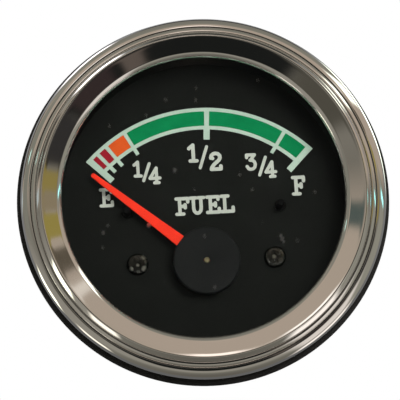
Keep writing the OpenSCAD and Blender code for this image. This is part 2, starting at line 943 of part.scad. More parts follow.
// Ballast resistor: ceramic rod with a wire lead at each end, soldered to a post on the strip
module resistor() {
    axis_z = link_z - resistor_drop;
    post_extra = 0.15;
    post_r = lead_r + post_extra;
    color([0.75, 0.62, 0.42])
        facing_reader()
            translate([0, -terminal_drop, 0]) {
                translate([-resistor_len / 2, 0, axis_z])
                    rotate([0, 90, 0]) cylinder(r = resistor_r, h = resistor_len);
                for (side = [-1, 1]) {
                    translate([side * lead_x, 0, 0])
                        disc(post_r, axis_z - post_r, link_z);
                    translate([side * lead_x / 2 - lead_x / 2, 0, axis_z])
                        rotate([0, 90, 0]) cylinder(r = lead_r, h = lead_x);
                }
            }
}

module hexagon(across_flats, z0, z1) {
    translate([0, 0, z0]) cylinder(d = across_flats / cos(30), h = z1 - z0, $fn = 6);
}

module terminal_studs() {
    color([0.78, 0.66, 0.34])
        facing_reader()
            each_side(terminal_x, -terminal_drop)
                difference() {
                    union() {
                        disc(terminal_r, terminal_end_z, base_z);
                        disc(terminal_head_r, base_z, base_z + terminal_head_h);
                    }
                    difference() {
                        disc(terminal_r + cut, terminal_nut_z - relief_w, terminal_nut_z);
                        bored(terminal_r - relief_depth, terminal_nut_z - relief_w,
                            terminal_nut_z);
                    }
                }
}

// Nylon sleeves that space the movement off the case's back and line the stud holes
module terminal_sleeves() {
    color([0.86, 0.85, 0.80])
        facing_reader()
            each_side(terminal_x, -terminal_drop)
                difference() {
                    union() {
                        disc(sleeve_r, back_in_z, link_z);
                        disc(sleeve_spigot_r, back_z, back_in_z);
                    }
                    bored(terminal_r + sleeve_play, back_z, link_z);
                }
}

module terminal_insulators() {
    color([0.12, 0.12, 0.12])
        facing_reader()
            each_side(terminal_x, -terminal_drop)
                tube(insulator_r, terminal_r + sleeve_play, insulator_z, back_z);
}

module terminal_washers() {
    color([0.74, 0.75, 0.76])
        facing_reader()
            each_side(terminal_x, -terminal_drop)
                tube(washer_r, terminal_r + sleeve_play, washer_z, insulator_z);
}

module terminal_nuts() {
    color([0.76, 0.74, 0.66])
        facing_reader()
            each_side(terminal_x, -terminal_drop)
                difference() {
                    hexagon(terminal_nut_af, terminal_nut_z, washer_z);
                    bored(terminal_r, terminal_nut_z, washer_z);
                }
}

// Bent blade for the ground wire, riveted to the case's back
module ground_blade() {
    foot_z = back_z - blade_t;
    low_y = ground_y - ground_foot_h / 2;
    high_y = ground_y + ground_foot_h / 2;
    color([0.76, 0.74, 0.66])
        facing_reader()
            difference() {
                union() {
                    box(-blade_w / 2, blade_w / 2, low_y, high_y, foot_z, back_z);
                    box(-blade_w / 2, blade_w / 2, high_y - blade_t, high_y,
                        foot_z - blade_len, back_z);
                }
                translate([0, ground_y, 0]) bored(rivet_r, foot_z, back_z);
            }
}

module ground_rivet() {
    foot_z = back_z - blade_t;
    color([0.70, 0.70, 0.70])
        facing_reader()
            translate([0, ground_y, 0]) {
                disc(rivet_r, foot_z, back_in_z);
                disc(rivet_head_r, back_in_z, back_in_z + rivet_head_h);
                disc(rivet_head_r, foot_z - rivet_head_h, foot_z);
            }
}

module clamp_studs() {
    color([0.72, 0.70, 0.62])
        facing_reader()
            each_side(clamp_x, 0) {
                disc(clamp_stud_r, clamp_stud_end_z, back_in_z);
                disc(clamp_head_r, back_in_z, back_in_z + clamp_head_h);
            }
}

// Strap bent to a U behind the case, whose two feet press on the back of the panel
module u_clamp() {
    module leg_outline() {
        translate([leg_in_x, strap_back_z + bend_r])
            square([strap_t, foot_z - strap_back_z - bend_r]);
        translate([leg_x - bend_r, strap_back_z + bend_r])
            intersection() {
                difference() {
                    circle(r = bend_r);
                    circle(r = bend_r - strap_t);
                }
                translate([0, -bend_r]) square(bend_r);
            }
    }
    color([0.72, 0.70, 0.62])
        facing_reader()
            difference() {
                translate([0, strap_w / 2, 0])
                    rotate([90, 0, 0])
                        linear_extrude(strap_w) {
                            leg_outline();
                            mirror([1, 0]) leg_outline();
                            translate([-leg_x + bend_r, strap_back_z])
                                square([2 * (leg_x - bend_r), strap_t]);
                        }
                each_side(clamp_x, 0)
                    bored(clamp_stud_r + clamp_hole_play, strap_back_z, strap_z);
            }
}

module spring_washers() {
    color([0.35, 0.36, 0.38])
        facing_reader()
            each_side(clamp_x, 0)
                tube(spring_r, spring_bore_r, strap_back_z - spring_t, strap_back_z);
}

// Knurled nut for the fingers: a plain collar and a fluted rim
module thumb_nut(side) {
    flute_r = nut_d * 0.07;
    facing_reader()
        translate([side * clamp_x, 0, 0])
            difference() {
                union() {
                    disc(thumb_collar_r, thumb_z - thumb_collar_h, thumb_z);
                    disc(nut_d / 2, thumb_end_z, thumb_z - thumb_collar_h);
                }
                bored(clamp_stud_r + thumb_play, thumb_end_z, thumb_z);
                for (i = [0 : thumb_flutes - 1])
                    rotate(i * 360 / thumb_flutes)
                        translate([nut_d / 2 + flute_r / 2, 0, 0])
                            disc(flute_r, thumb_end_z - cut, thumb_z - thumb_collar_h + cut,
                                $fn = 24);
            }
}

module thumb_nut_left() color([0.80, 0.68, 0.36]) thumb_nut(-1);

module thumb_nut_right() color([0.80, 0.68, 0.36]) thumb_nut(1);

module in_lamp() facing_reader() translate([0, lamp_rise, 0]) children();

// Plated sleeve that pushes into the case's back, with its flange left just clear
module lamp_socket() {
    color([0.76, 0.75, 0.70])
        in_lamp()
            difference() {
                union() {
                    disc(lamp_r, lamp_back_z, lamp_front_z);
                    disc(lamp_flange_r, lamp_flange_z - lamp_flange_t, lamp_flange_z);
                }
                bored(lamp_r - lamp_wall, lamp_back_z, lamp_front_z);
            }
}

module lamp_insulator() {
    color([0.50, 0.30, 0.16])
        in_lamp()
            difference() {
                disc(lamp_r - lamp_wall, lamp_back_z, lamp_disc_top_z);
                box(-blade_w / 2, blade_w / 2, -blade_t / 2, blade_t / 2, lamp_back_z - cut,
                    lamp_disc_top_z + cut);
            }
}

module lamp_blade() {
    contact_r = 1.6;
    color([0.78, 0.66, 0.34])
        in_lamp() {
            box(-blade_w / 2, blade_w / 2, -blade_t / 2, blade_t / 2, lamp_back_z - blade_len,
                lamp_disc_top_z);
            translate([-blade_w / 2, -contact_r, lamp_disc_top_z])
                cube([blade_w, 2 * contact_r, contact_h]);
        }
}

module bulb_base() {
    tip_r = 1.5;
    pin_r = 0.5;
    pin_reach = 0.3;
    pin_rise = 4;
    color([0.80, 0.68, 0.36])
        in_lamp() {
            disc(tip_r, bulb_base_z - bulb_tip_h, bulb_base_z);
            disc(bulb_base_r, bulb_base_z, bulb_base_z + bulb_base_len);
            for (side = [-1, 1])
                translate([side * bulb_base_r - pin_reach, 0, bulb_base_z + pin_rise])
                    rotate([0, 90, 0]) cylinder(r = pin_r, h = 2 * pin_reach);
        }
}

module bulb_glass() {
    neck_z = bulb_base_z + bulb_base_len;
    neck_len = 0.5;
    neck_h = sqrt(bulb_r * bulb_r - bulb_neck_r * bulb_neck_r);
    ball_a = -acos(bulb_neck_r / bulb_r);
    color([0.90, 0.92, 0.90, 0.4])
        in_lamp()
            translate([0, 0, neck_z])
                rotate_extrude()
                    polygon(concat(
                        [[0, 0], [bulb_neck_r, 0], [bulb_neck_r, neck_len]],
                        arc([0, neck_h + neck_len], bulb_r, bulb_r, ball_a, 90, 16)
                    ));
}

bezel();
glass();
glass_gasket();
spacer_ring();
panel_gasket();
case();
dial_plate();
scale_lines();
scale_green();
scale_amber();
scale_red();
dial_screws();
stop_pins();
needle();
hub_cap();
spindle();
magnet();
movement_frame();
front_bush();
bobbin_front();
bobbin_rear();
coil_upright();
coil_level();
shield_tube();
jewel();
return_magnet();
base_plate();
link_strips();
resistor();
terminal_studs();
terminal_sleeves();
terminal_insulators();
terminal_washers();
terminal_nuts();
ground_blade();
ground_rivet();
clamp_studs();
u_clamp();
spring_washers();
thumb_nut_left();
thumb_nut_right();
lamp_socket();
lamp_insulator();
lamp_blade();
bulb_base();
bulb_glass();
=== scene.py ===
import math

import bmesh
import bpy
from mathutils import Matrix, Vector
from mathutils.geometry import delaunay_2d_cdt


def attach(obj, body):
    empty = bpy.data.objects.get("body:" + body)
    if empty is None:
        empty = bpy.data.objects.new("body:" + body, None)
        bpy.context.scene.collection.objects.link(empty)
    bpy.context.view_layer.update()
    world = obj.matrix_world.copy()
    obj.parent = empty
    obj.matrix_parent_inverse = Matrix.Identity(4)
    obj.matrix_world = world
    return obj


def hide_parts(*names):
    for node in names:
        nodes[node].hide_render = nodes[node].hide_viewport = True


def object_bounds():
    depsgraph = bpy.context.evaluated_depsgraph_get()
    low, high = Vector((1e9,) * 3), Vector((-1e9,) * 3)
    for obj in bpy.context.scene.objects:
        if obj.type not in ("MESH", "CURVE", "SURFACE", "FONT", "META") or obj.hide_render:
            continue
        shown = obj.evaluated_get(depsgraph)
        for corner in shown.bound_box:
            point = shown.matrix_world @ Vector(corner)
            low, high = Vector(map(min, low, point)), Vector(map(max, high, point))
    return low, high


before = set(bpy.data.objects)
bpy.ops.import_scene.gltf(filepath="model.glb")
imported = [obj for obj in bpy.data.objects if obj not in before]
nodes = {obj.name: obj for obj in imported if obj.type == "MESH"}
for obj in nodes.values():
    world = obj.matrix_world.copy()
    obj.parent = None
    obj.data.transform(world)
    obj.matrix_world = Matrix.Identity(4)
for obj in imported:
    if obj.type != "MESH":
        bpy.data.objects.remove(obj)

cad_box = [list(corner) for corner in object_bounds()]
scene = bpy.context.scene


# Camera: a long lens, ten degrees below the gauge's axis and a touch to its left, turned a
# little so that the dial leans back to the left as it does in the photograph.

def toward(azimuth, elevation):
    """Direction from the gauge: azimuth 0 is straight out of the dial, positive to the right"""
    az, el = math.radians(azimuth), math.radians(elevation)
    return Vector((math.sin(az) * math.cos(el), -math.cos(az) * math.cos(el), math.sin(el)))


def placed(name, data):
    """A new object in the scene, for a mesh, a lamp or a camera"""
    thing = bpy.data.objects.new(name, data)
    scene.collection.objects.link(thing)
    return thing


aim = Vector((-0.00046, 0.00192, 0.000507))
camera_back = toward(-1.5, -10)
camera_far = 0.35
camera_lean = math.radians(-3.3)
lens = bpy.data.cameras.new("camera")
lens.lens = 194
lens.sensor_width = 36
camera = placed("camera", lens)
camera.matrix_world = (Matrix.Translation(aim + camera_back * camera_far)
                       @ camera_back.to_track_quat("Z", "Y").to_matrix().to_4x4()
                       @ Matrix.Rotation(camera_lean, 4, "Z"))
scene.camera = camera
scene.view_settings.view_transform = "Standard"


# Studio: an even soft surround, white where it is seen past the gauge, and in polished metal a
# grey that is lighter above than below.

def feed(tree, value, socket):
    """Joins an output to a socket, or sets the socket to a plain value"""
    if isinstance(value, bpy.types.NodeSocket):
        tree.links.new(value, socket)
    else:
        socket.default_value = value


def put(tree, node, **named):
    """Feeds the sockets named, with a line in place of each space"""
    for socket, value in named.items():
        feed(tree, value, node.inputs[socket.replace("_", " ")])


def add_node(tree, kind, *first, operation=None, **named):
    """A shader node, with what goes into its first sockets in order and into those named"""
    node = tree.nodes.new("ShaderNode" + kind)
    if operation:
        node.operation = operation
    for socket, value in zip(node.inputs, first):
        feed(tree, value, socket)
    put(tree, node, **named)
    return node


def maths(tree, operation, *values):
    return add_node(tree, "Math", *values, operation=operation).outputs[0]


def ranged(tree, value, low, high, to_low=0.0, to_high=1.0, smooth=False):
    """Lays a value's span over another span, and holds it at the ends"""
    span = add_node(tree, "MapRange", Value=value, From_Min=low, From_Max=high, To_Min=to_low,
                    To_Max=to_high)
    if smooth:
        span.interpolation_type = "SMOOTHSTEP"
    return span.outputs["Result"]


def either(tree, share, first, second):
    """The first shader, or the second as far as the share goes"""
    return add_node(tree, "MixShader", share, first, second).outputs[0]


surround = bpy.data.worlds.new("studio")
scene.world = surround
surround.use_nodes = True
tree = surround.node_tree
tree.nodes.clear()
ray = add_node(tree, "LightPath").outputs
direction = add_node(tree, "TexCoord").outputs["Generated"]
height = add_node(tree, "SeparateXYZ", direction).outputs["Z"]
soft_light = add_node(tree, "Background", (1.0, 0.98, 0.95, 1), 0.42).outputs[0]
in_metal = add_node(tree, "Background", (1, 1, 1, 1),
                    ranged(tree, height, -0.5, 0.6, 0.15, 0.30)).outputs[0]
white = add_node(tree, "Background", (1, 1, 1, 1), 1.0).outputs[0]
lit = either(tree, ray["Is Glossy Ray"], soft_light, in_metal)
seen = maths(tree, "MAXIMUM", ray["Is Camera Ray"], ray["Is Transmission Ray"])
add_node(tree, "OutputWorld", either(tree, seen, lit, white))


# Floor: a pale painted table top that the gauge's rim stands on. It is seen from above only,
# because the photograph looks at the gauge from a little below it.

def meshed(name, bm):
    """A mesh of what the bmesh holds, which is then let go"""
    mesh = bpy.data.meshes.new(name)
    bm.to_mesh(mesh)
    bm.free()
    return mesh


def new_look(name):
    """A plain material, with its node tree and its main shader"""
    look = bpy.data.materials.new(name)
    look.use_nodes = True
    return look, look.node_tree, look.node_tree.nodes["Principled BSDF"]


def on_piece(tree):
    """Places fixed to the piece, in metres from the row's origin"""
    return add_node(tree, "TexCoord").outputs["Object"]


def clouded(tree, scale, detail, roughness=0.5, where=None):
    """A cloudy pattern fixed to the piece, its scale counted to the metre"""
    where = where or on_piece(tree)
    return add_node(tree, "TexNoise", Vector=where, Scale=scale, Detail=detail,
                    Roughness=roughness).outputs["Fac"]


def shaded(tree, value, first, last, stops=()):
    """Colours laid along a value from 0 to 1, with stops of (position, colour) in between"""
    tone = add_node(tree, "ValToRGB", value)
    row = tone.color_ramp.elements
    row[0].color, row[1].color = (*first, 1), (*last, 1)
    for position, colour in stops:
        row.new(position).color = (*colour, 1)
    return tone.outputs["Color"]


floor_size, floor_gap = 1.5, 0.0002
floor_bm = bmesh.new()
bmesh.ops.create_grid(floor_bm, x_segments=1, y_segments=1, size=floor_size)
bmesh.ops.translate(floor_bm, vec=(0, 0, cad_box[0][2] - floor_gap), verts=floor_bm.verts)
floor = placed("floor", meshed("floor", floor_bm))
floor.visible_glossy = False
paint, tree, shade = new_look("pale_table")
tone = shaded(tree, clouded(tree, 9.0, 5.0), (0.80, 0.80, 0.79), (0.86, 0.86, 0.85))
put(tree, shade, Base_Color=tone, Roughness=0.8, Specular_IOR_Level=0.1)
from_below = add_node(tree, "NewGeometry").outputs["Backfacing"]
clear = add_node(tree, "BsdfTransparent").outputs[0]
put(tree, tree.nodes["Material Output"],
    Surface=either(tree, from_below, shade.outputs[0], clear))
floor.data.materials.append(paint)

# Key light: one large soft lamp, to the right and a little above, which lets the lip shade the
# right-hand edge of the dial.
key_side, key_far = toward(17, 12), 0.75
key = bpy.data.lights.new("key", "AREA")
key.energy = 4.2
key.size = 0.3
key.color = (1.0, 0.985, 0.96)
key_lamp = placed("key", key)
key_lamp.location = key_side * key_far
key_lamp.rotation_euler = key_side.to_track_quat("Z", "Y").to_euler()
key_lamp.visible_glossy = False
key_lamp.visible_transmission = False

# Reflection cards: plain dark, pale and bright cards that stand round the gauge and show in its
# polished bezel. Only mirror-like reflections see them.
mirror_axis = toward(1.5, 10)
rightward = Vector((0, 0, 1)).cross(mirror_axis).normalized()
upward = mirror_axis.cross(rightward)


def mirrored(name, bm):
    """A piece of the studio that only reflections see, and the empty tree of its material"""
    piece = placed(name, meshed(name, bm))
    for kind in ("camera", "diffuse", "volume_scatter", "shadow"):
        setattr(piece, "visible_" + kind, False)
    look, tree = new_look(name)[:2]
    tree.nodes.clear()
    piece.data.materials.append(look)
    return piece, tree


def card(name, clock, away, along, across, colour, far=1.2, soft=0.25):
    """A plain card, all in degrees: how far it stands from the line that a flat mirror on the
    dial reflects, on which side (0 right, 90 up), its length that way and its width"""
    side = rightward * math.cos(math.radians(clock)) + upward * math.sin(math.radians(clock))
    lean = math.radians(away)
    outward = mirror_axis * math.cos(lean) + side * math.sin(lean)
    length = side * math.cos(lean) - mirror_axis * math.sin(lean)
    bm = bmesh.new()
    bmesh.ops.create_grid(bm, x_segments=1, y_segments=1, size=0.5)
    piece, tree = mirrored(name, bm)
    size = [2 * far * math.tan(math.radians(angle) / 2) for angle in (along, across)]
    facing = Matrix((length, outward.cross(length), outward)).transposed().to_4x4()
    piece.matrix_world = (Matrix.Translation(outward * far) @ facing
                          @ Matrix.Diagonal((*size, 1, 1)))
    split = add_node(tree, "SeparateXYZ", on_piece(tree))
    inset = [ranged(tree, maths(tree, "ABSOLUTE", split.outputs[axis]), 0.5, 0.5 - soft,
                    smooth=True) for axis in "XY"]
    clear = add_node(tree, "BsdfTransparent").outputs[0]
    glow = add_node(tree, "Emission", (*colour, 1)).outputs[0]
    add_node(tree, "OutputMaterial", either(tree, maths(tree, "MULTIPLY", *inset), clear, glow))


# Front screen: a half dome round the gauge, beige above the eye and darker below
dome_r = 1.6
dome_bm = bmesh.new()
bmesh.ops.create_uvsphere(dome_bm, u_segments=48, v_segments=32, radius=dome_r)
bmesh.ops.delete(dome_bm, geom=[v for v in dome_bm.verts if v.co.y > 0.5], context="VERTS")
dome, tree = mirrored("front_screen", dome_bm)
height = add_node(tree, "SeparateXYZ", on_piece(tree)).outputs["Z"]
bands = ((0.10, (0.20, 0.19, 0.16)), (0.20, (0.33, 0.31, 0.265)), (0.42, (0.31, 0.29, 0.25)),
         (0.56, (0.20, 0.185, 0.155)), (0.625, (0.46, 0.385, 0.31)),
         (0.80, (0.50, 0.41, 0.335)), (0.86, (0.26, 0.25, 0.205)))
tone = shaded(tree, ranged(tree, height, -dome_r, dome_r), (0.14, 0.13, 0.11),
              (0.22, 0.21, 0.18), bands)
add_node(tree, "OutputMaterial", add_node(tree, "Emission", tone).outputs[0])

# The cards: place, length and width in degrees, then colour
card("dark_low", 279, 19.5, 27, 34, (0.012, 0.013, 0.012), far=1.30, soft=0.1)
card("dark_middle", 270, 0.5, 12, 13, (0.015, 0.016, 0.015), far=1.28, soft=0.1)
card("glow_high", 90, 11.5, 10, 5, (1.5, 1.3, 1.17), far=1.22, soft=0.3)
card("glow_left_high", 126, 11, 7, 6.5, (1.5, 1.4, 1.3), far=1.22, soft=0.3)
card("dark_top", 80, 101, 20, 50, (0.024, 0.022, 0.023), far=1.22, soft=0.15)
card("dark_left_high", 148, 101, 20, 28, (0.070, 0.062, 0.052), far=1.22, soft=0.2)
card("pale_left", 162, 62, 66, 50, (0.24, 0.235, 0.195), far=1.25, soft=0.2)
card("pale_right", 345, 66, 74, 44, (0.31, 0.30, 0.25), far=1.25, soft=0.2)
card("bright_left_high", 119, 101, 30, 22, (3.0, 2.85, 2.9))
card("bright_right_high", 39, 64, 62, 12, (2.2, 2.3, 2.0))
card("bright_right_far", 41, 124, 42, 30, (3.2, 3.4, 2.9))
card("bright_left_far", 199, 100, 34, 18, (2.8, 2.75, 2.2))
card("bright_left_low", 224, 98, 26, 18, (1.6, 1.5, 1.3))
card("pale_right_low", 314, 56, 60, 30, (0.85, 0.78, 0.72))
card("bright_right_low", 317, 103, 34, 32, (1.3, 1.2, 1.12))
card("blue_left", 166, 104, 26, 6, (0.50, 0.56, 0.56), soft=0.2)
card("mint_left", 158, 62, 8, 5, (1.3, 2.0, 1.8), soft=0.3)
card("mint_right", 2, 64, 40, 3, (0.8, 1.9, 1.85), soft=0.2)
card("dark_right_low", 337.5, 18, 18, 8, (0.034, 0.032, 0.031), far=1.24, soft=0.15)
card("dim_left_low", 216, 18, 18, 12, (0.090, 0.083, 0.066), far=1.24)
card("yellow_lower", 354, 18, 18, 2.9, (0.30, 0.235, 0.070), far=1.23, soft=0.1)
card("yellow_upper", 11, 18, 18, 3.5, (0.33, 0.265, 0.070), far=1.23, soft=0.1)
card("beige_between", 2, 18, 18, 2.4, (0.28, 0.225, 0.145), far=1.22, soft=0.15)
card("brown_upper", 24.5, 18, 18, 3.9, (0.11, 0.09, 0.065), far=1.23, soft=0.2)
card("white_strip", 37, 17, 18, 2.2, (0.85, 0.77, 0.68), far=1.23, soft=0.3)
card("teal_strip", 167, 18, 18, 4.6, (0.085, 0.11, 0.10), far=1.23, soft=0.3)
card("brown_low", 295, 18, 18, 4.2, (0.125, 0.10, 0.085), far=1.23, soft=0.3)
card("brown_right_low", 314, 18, 18, 8, (0.040, 0.028, 0.027), far=1.24, soft=0.2)


# Case: a can drawn from zinc plated steel sheet, with a flange at the mouth that the bezel is
# rolled round, and holes punched in its back for the studs, the lamp and the ground rivet.

def blended(tree, share, first, second):
    """The first colour, or the second as far as the share goes"""
    blend = add_node(tree, "Mix", share)
    blend.data_type = "RGBA"
    feed(tree, first, blend.inputs[6])
    feed(tree, second, blend.inputs[7])
    return blend.outputs[2]


def bumped(tree, height, strength, distance):
    return add_node(tree, "Bump", Height=height, Strength=strength,
                    Distance=distance).outputs["Normal"]


def finish(name, colour, tint, metal=0.0, rough=(0.35, 0.5), grain=900, lift=0.004,
           patch=60, stretch=(1, 1, 1), shine=0.5):
    """A surface: its colour shading into a second tint, with its gloss and a fine grain.
    Grain and patch are counts to the metre, and lift is the grain's height in millimetres."""
    look, tree, shade = new_look(name)
    drawn = add_node(tree, "Mapping", Vector=on_piece(tree), Scale=stretch).outputs["Vector"]
    fine = clouded(tree, grain, 6.0, 0.6, drawn)
    broad = ranged(tree, clouded(tree, patch, 8.0, 0.65, drawn), 0.35, 0.68)
    put(tree, shade, Metallic=metal, Specular_IOR_Level=shine,
        Base_Color=blended(tree, broad, (*colour, 1), (*tint, 1)),
        Roughness=ranged(tree, fine, 0.3, 0.7, *rough))
    if lift:
        put(tree, shade, Normal=bumped(tree, fine, 1.0, lift / 1000))
    return look


def refinish(look, *names):
    """Gives a surface to CAD pieces whose own shape is kept"""
    for name in names:
        mesh = nodes[name].data
        mesh.materials.clear()
        mesh.materials.append(look)


def made(name, bm, body, look, slot, *stands_for, crease=32):
    """Turns a bmesh drawn in millimetres into a finished piece that rides on a body"""
    bmesh.ops.remove_doubles(bm, verts=bm.verts, dist=0.0008)
    bmesh.ops.recalc_face_normals(bm, faces=bm.faces)
    bmesh.ops.scale(bm, vec=(0.001, 0.001, 0.001), verts=bm.verts)
    mesh = meshed(name, bm)
    mesh.shade_smooth()
    mesh.set_sharp_from_angle(angle=math.radians(crease))
    mesh.materials.append(look)
    piece = placed(name, mesh)
    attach(piece, body)
    if stands_for:
        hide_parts(*stands_for)


def arc(centre, wide, high, start, end, count):
    """Points (radius, height) along part of an ellipse, in millimetres and degrees"""
    turns = [math.radians(start + (end - start) * i / count) for i in range(count + 1)]
    return [(centre[0] + wide * math.cos(t), centre[1] + high * math.sin(t)) for t in turns]


def closed(bm, edges, last):
    """Shuts both ends of a form that was spun part of the way, or along a screw"""
    bmesh.ops.contextual_create(bm, geom=edges)
    bmesh.ops.contextual_create(bm, geom=[g for g in last if isinstance(g, bmesh.types.BMEdge)])


def spun(bm, outline, steps=96, x=0.0, up=0.0, turn=360.0, first=0.0, ring=True):
    """Turns an outline of (radius, height towards the reader) about an axis along the gauge"""
    lean = Matrix.Rotation(math.radians(-first), 4, "Y")
    points = [bm.verts.new(Vector((x, 0, up)) + lean @ Vector((r, -z, 0))) for r, z in outline]
    follow = points[1:] + points[:1] if ring else points[1:]
    edges = [bm.edges.new(pair) for pair in zip(points, follow)]
    turned = bmesh.ops.spin(
        bm, geom=points + edges, cent=(x, 0, up), axis=(0, -1, 0), angle=math.radians(turn),
        steps=steps, use_merge=turn == 360.0)
    if turn != 360.0:
        closed(bm, edges, turned["geom_last"])
    return bm


def joined(solid, tool, how="DIFFERENCE"):
    """Cuts one bmesh out of another, or keeps only what they share"""
    pair = []
    for name, bm in (("solid", solid), ("tool", tool)):
        bmesh.ops.remove_doubles(bm, verts=bm.verts, dist=0.0005)
        bmesh.ops.recalc_face_normals(bm, faces=bm.faces)
        pair.append(placed(name, meshed(name, bm)))
    cut = pair[0].modifiers.new("cut", "BOOLEAN")
    cut.operation = how
    cut.solver = "EXACT"
    cut.object = pair[1]
    bpy.context.view_layer.update()
    depsgraph = bpy.context.evaluated_depsgraph_get()
    result = bpy.data.meshes.new_from_object(pair[0].evaluated_get(depsgraph))
    out = bmesh.new()
    out.from_mesh(result)
    bpy.data.meshes.remove(result)
    for item in pair:
        mesh = item.data
        bpy.data.objects.remove(item)
        bpy.data.meshes.remove(mesh)
    return out


def rod(bm, r, z0, z1, x=0.0, up=0.0, chamfer=0.0, steps=48):
    """A round bar along the gauge, between two heights, with its ends chamfered"""
    c = chamfer
    return spun(bm, [(0, z0), (r - c, z0), (r, z0 + c), (r, z1 - c), (r - c, z1), (0, z1)],
                steps, x, up, ring=False)


def block(bm, x0, x1, y0, y1, z0, z1):
    """A plain bar between two corners, in the row's own directions"""
    bar = bmesh.ops.create_cube(bm, size=1)["verts"]
    middle = Vector(((x0 + x1) / 2, (y0 + y1) / 2, (z0 + z1) / 2))
    bmesh.ops.scale(bm, vec=(x1 - x0, y1 - y0, z1 - z0), verts=bar)
    bmesh.ops.translate(bm, vec=middle, verts=bar)


case_back = -30.0
terminal_x, terminal_up = 13.5, -12.0
clamp_x = 17.0
lamp_up = 14.0
rivet_up = -19.2
sleeve_r, stud_r, lamp_r, rivet_r = 3.0, 2.0, 6.0, 1.2
# Outline from the middle of the back, up the outside to the flange and down the inside
can = spun(
    bmesh.new(),
    [(0, case_back)] + arc((23.3, -28), 2, 2, -90, 0, 10)
    + [(25.3, -8.15), (25.45, -8.0), (25.6, -8.0), (25.75, -7.85), (25.75, 0.0), (25.9, 0.15),
       (26.15, 0.15), (26.3, 0.3), (26.3, 1.9), (27.75, 1.9), (27.8, 1.95), (27.8, 2.45),
       (27.75, 2.5), (25.15, 2.5), (25.15, -7.2), (24.7, -7.6), (24.7, -27.8)]
    + arc((23.3, -27.8), 1.4, 1.4, 0, -90, 8) + [(0, case_back + 0.8)],
    steps=144, ring=False,
)
through = (case_back - 1, case_back + 2)
punch = bmesh.new()
for side in (-1, 1):
    rod(punch, sleeve_r, *through, side * terminal_x, terminal_up)
    rod(punch, stud_r, *through, side * clamp_x)
rod(punch, lamp_r, *through, up=lamp_up, steps=72)
rod(punch, rivet_r, *through, up=rivet_up)
zinc = finish("zinc_plate", (0.70, 0.68, 0.60), (0.58, 0.53, 0.40), metal=1,
              rough=(0.26, 0.42), grain=700, lift=0.003, patch=45)
made("case_can", joined(can, punch), "gauge", zinc, "zinc_steel", "case")


# Movement: two crossed pairs of copper windings on a nylon bobbin in a steel shield tube, held
# between a moulded front plate and a laminated back plate, with a small magnet on the spindle.
black_nylon = finish("black_nylon", (0.020, 0.020, 0.022), (0.030, 0.030, 0.031),
                     rough=(0.42, 0.6), grain=2500, lift=0.006, patch=120)
natural_nylon = finish("natural_nylon", (0.62, 0.60, 0.52), (0.70, 0.68, 0.60),
                       grain=1500, patch=90)
brass = finish("brass", (0.62, 0.46, 0.19), (0.48, 0.34, 0.13), metal=1, rough=(0.25, 0.42),
               grain=1800, lift=0.002, patch=160)
shield_steel = finish("shield_steel", (0.40, 0.41, 0.42), (0.33, 0.33, 0.34), metal=1,
                      rough=(0.3, 0.5), grain=500, lift=0.003, patch=40,
                      stretch=(1, 0.05, 1))
laminate = finish("brown_laminate", (0.16, 0.075, 0.030), (0.22, 0.115, 0.050),
                  rough=(0.4, 0.6), grain=1500, lift=0.005, patch=300,
                  stretch=(1, 6, 0.4))
dark_ferrite = finish("dark_ferrite", (0.035, 0.033, 0.036), (0.055, 0.052, 0.055),
                      rough=(0.5, 0.75), grain=3000, lift=0.01, patch=400)
ruby = finish("jewel_ruby", (0.42, 0.015, 0.05), (0.30, 0.01, 0.035), rough=(0.05, 0.12),
              grain=2500, lift=0.0, patch=800)
refinish(black_nylon, "movement_frame")
refinish(natural_nylon, "bobbin_front", "bobbin_rear")
refinish(brass, "front_bush", "link_strips")
refinish(shield_steel, "shield_tube")
refinish(laminate, "base_plate")
refinish(dark_ferrite, "magnet", "return_magnet")
refinish(ruby, "jewel")


def wound_copper(name, axis):
    """Enamelled copper wire in close turns, stacked along one of the row's axes"""
    look = finish(name, (0.42, 0.13, 0.045), (0.30, 0.085, 0.03), metal=0.9, rough=(0.25, 0.4),
                  lift=0.0, patch=200)
    tree = look.node_tree
    turns = add_node(tree, "TexWave", Vector=on_piece(tree), Scale=480.0, Distortion=0.25)
    turns.bands_direction = axis
    turns.wave_profile = "SIN"
    put(tree, tree.nodes["Principled BSDF"],
        Normal=bumped(tree, turns.outputs["Fac"], 1.0, 0.00005))
    return look


refinish(wound_copper("copper_upright", "X"), "coil_upright")
refinish(wound_copper("copper_level", "Z"), "coil_level")

# Ballast resistor: a glazed ceramic rod between two tinned wires, which are bent over and
# soldered to the link strips.
ceramic = finish("glazed_ceramic", (0.55, 0.42, 0.26), (0.62, 0.50, 0.33), rough=(0.15, 0.3),
                 grain=1200, patch=250)
refinish(ceramic, "resistor")


# Dial: a thin plate sprayed matt black, screwed to the movement's two pillars and held down
# round its edge by the spacer ring.
dial_z = -2.0
pivot_up = -9.9
dial_black = finish("dial_black", (0.0078, 0.0086, 0.0076), (0.0094, 0.0103, 0.0092),
                    rough=(0.72, 0.88), grain=5200, lift=0.006, patch=260, shine=0.12)
refinish(dial_black, "dial_plate")


# Print: silk-screened inks, pale green-white lines over green, amber and red fields. They lie
# on the dial's paint as films with the fine grain of the screen.

def ink(name, colour, tint, patch=500):
    return finish(name, colour, tint, rough=(0.6, 0.75), grain=4200, patch=patch, shine=0.06)


letter_ink = ink("letter_ink", (0.527, 0.562, 0.500), (0.490, 0.525, 0.465), 700)
refinish(ink("pale_ink", (0.470, 0.604, 0.503), (0.430, 0.562, 0.468), 700), "scale_lines")
refinish(ink("green_ink", (0.0030, 0.222, 0.074), (0.0022, 0.195, 0.064)), "scale_green")
refinish(ink("amber_ink", (0.730, 0.105, 0.0185), (0.66, 0.090, 0.017)), "scale_amber")
refinish(ink("red_ink", (0.337, 0.0144, 0.0262), (0.30, 0.0130, 0.0235)), "scale_red")

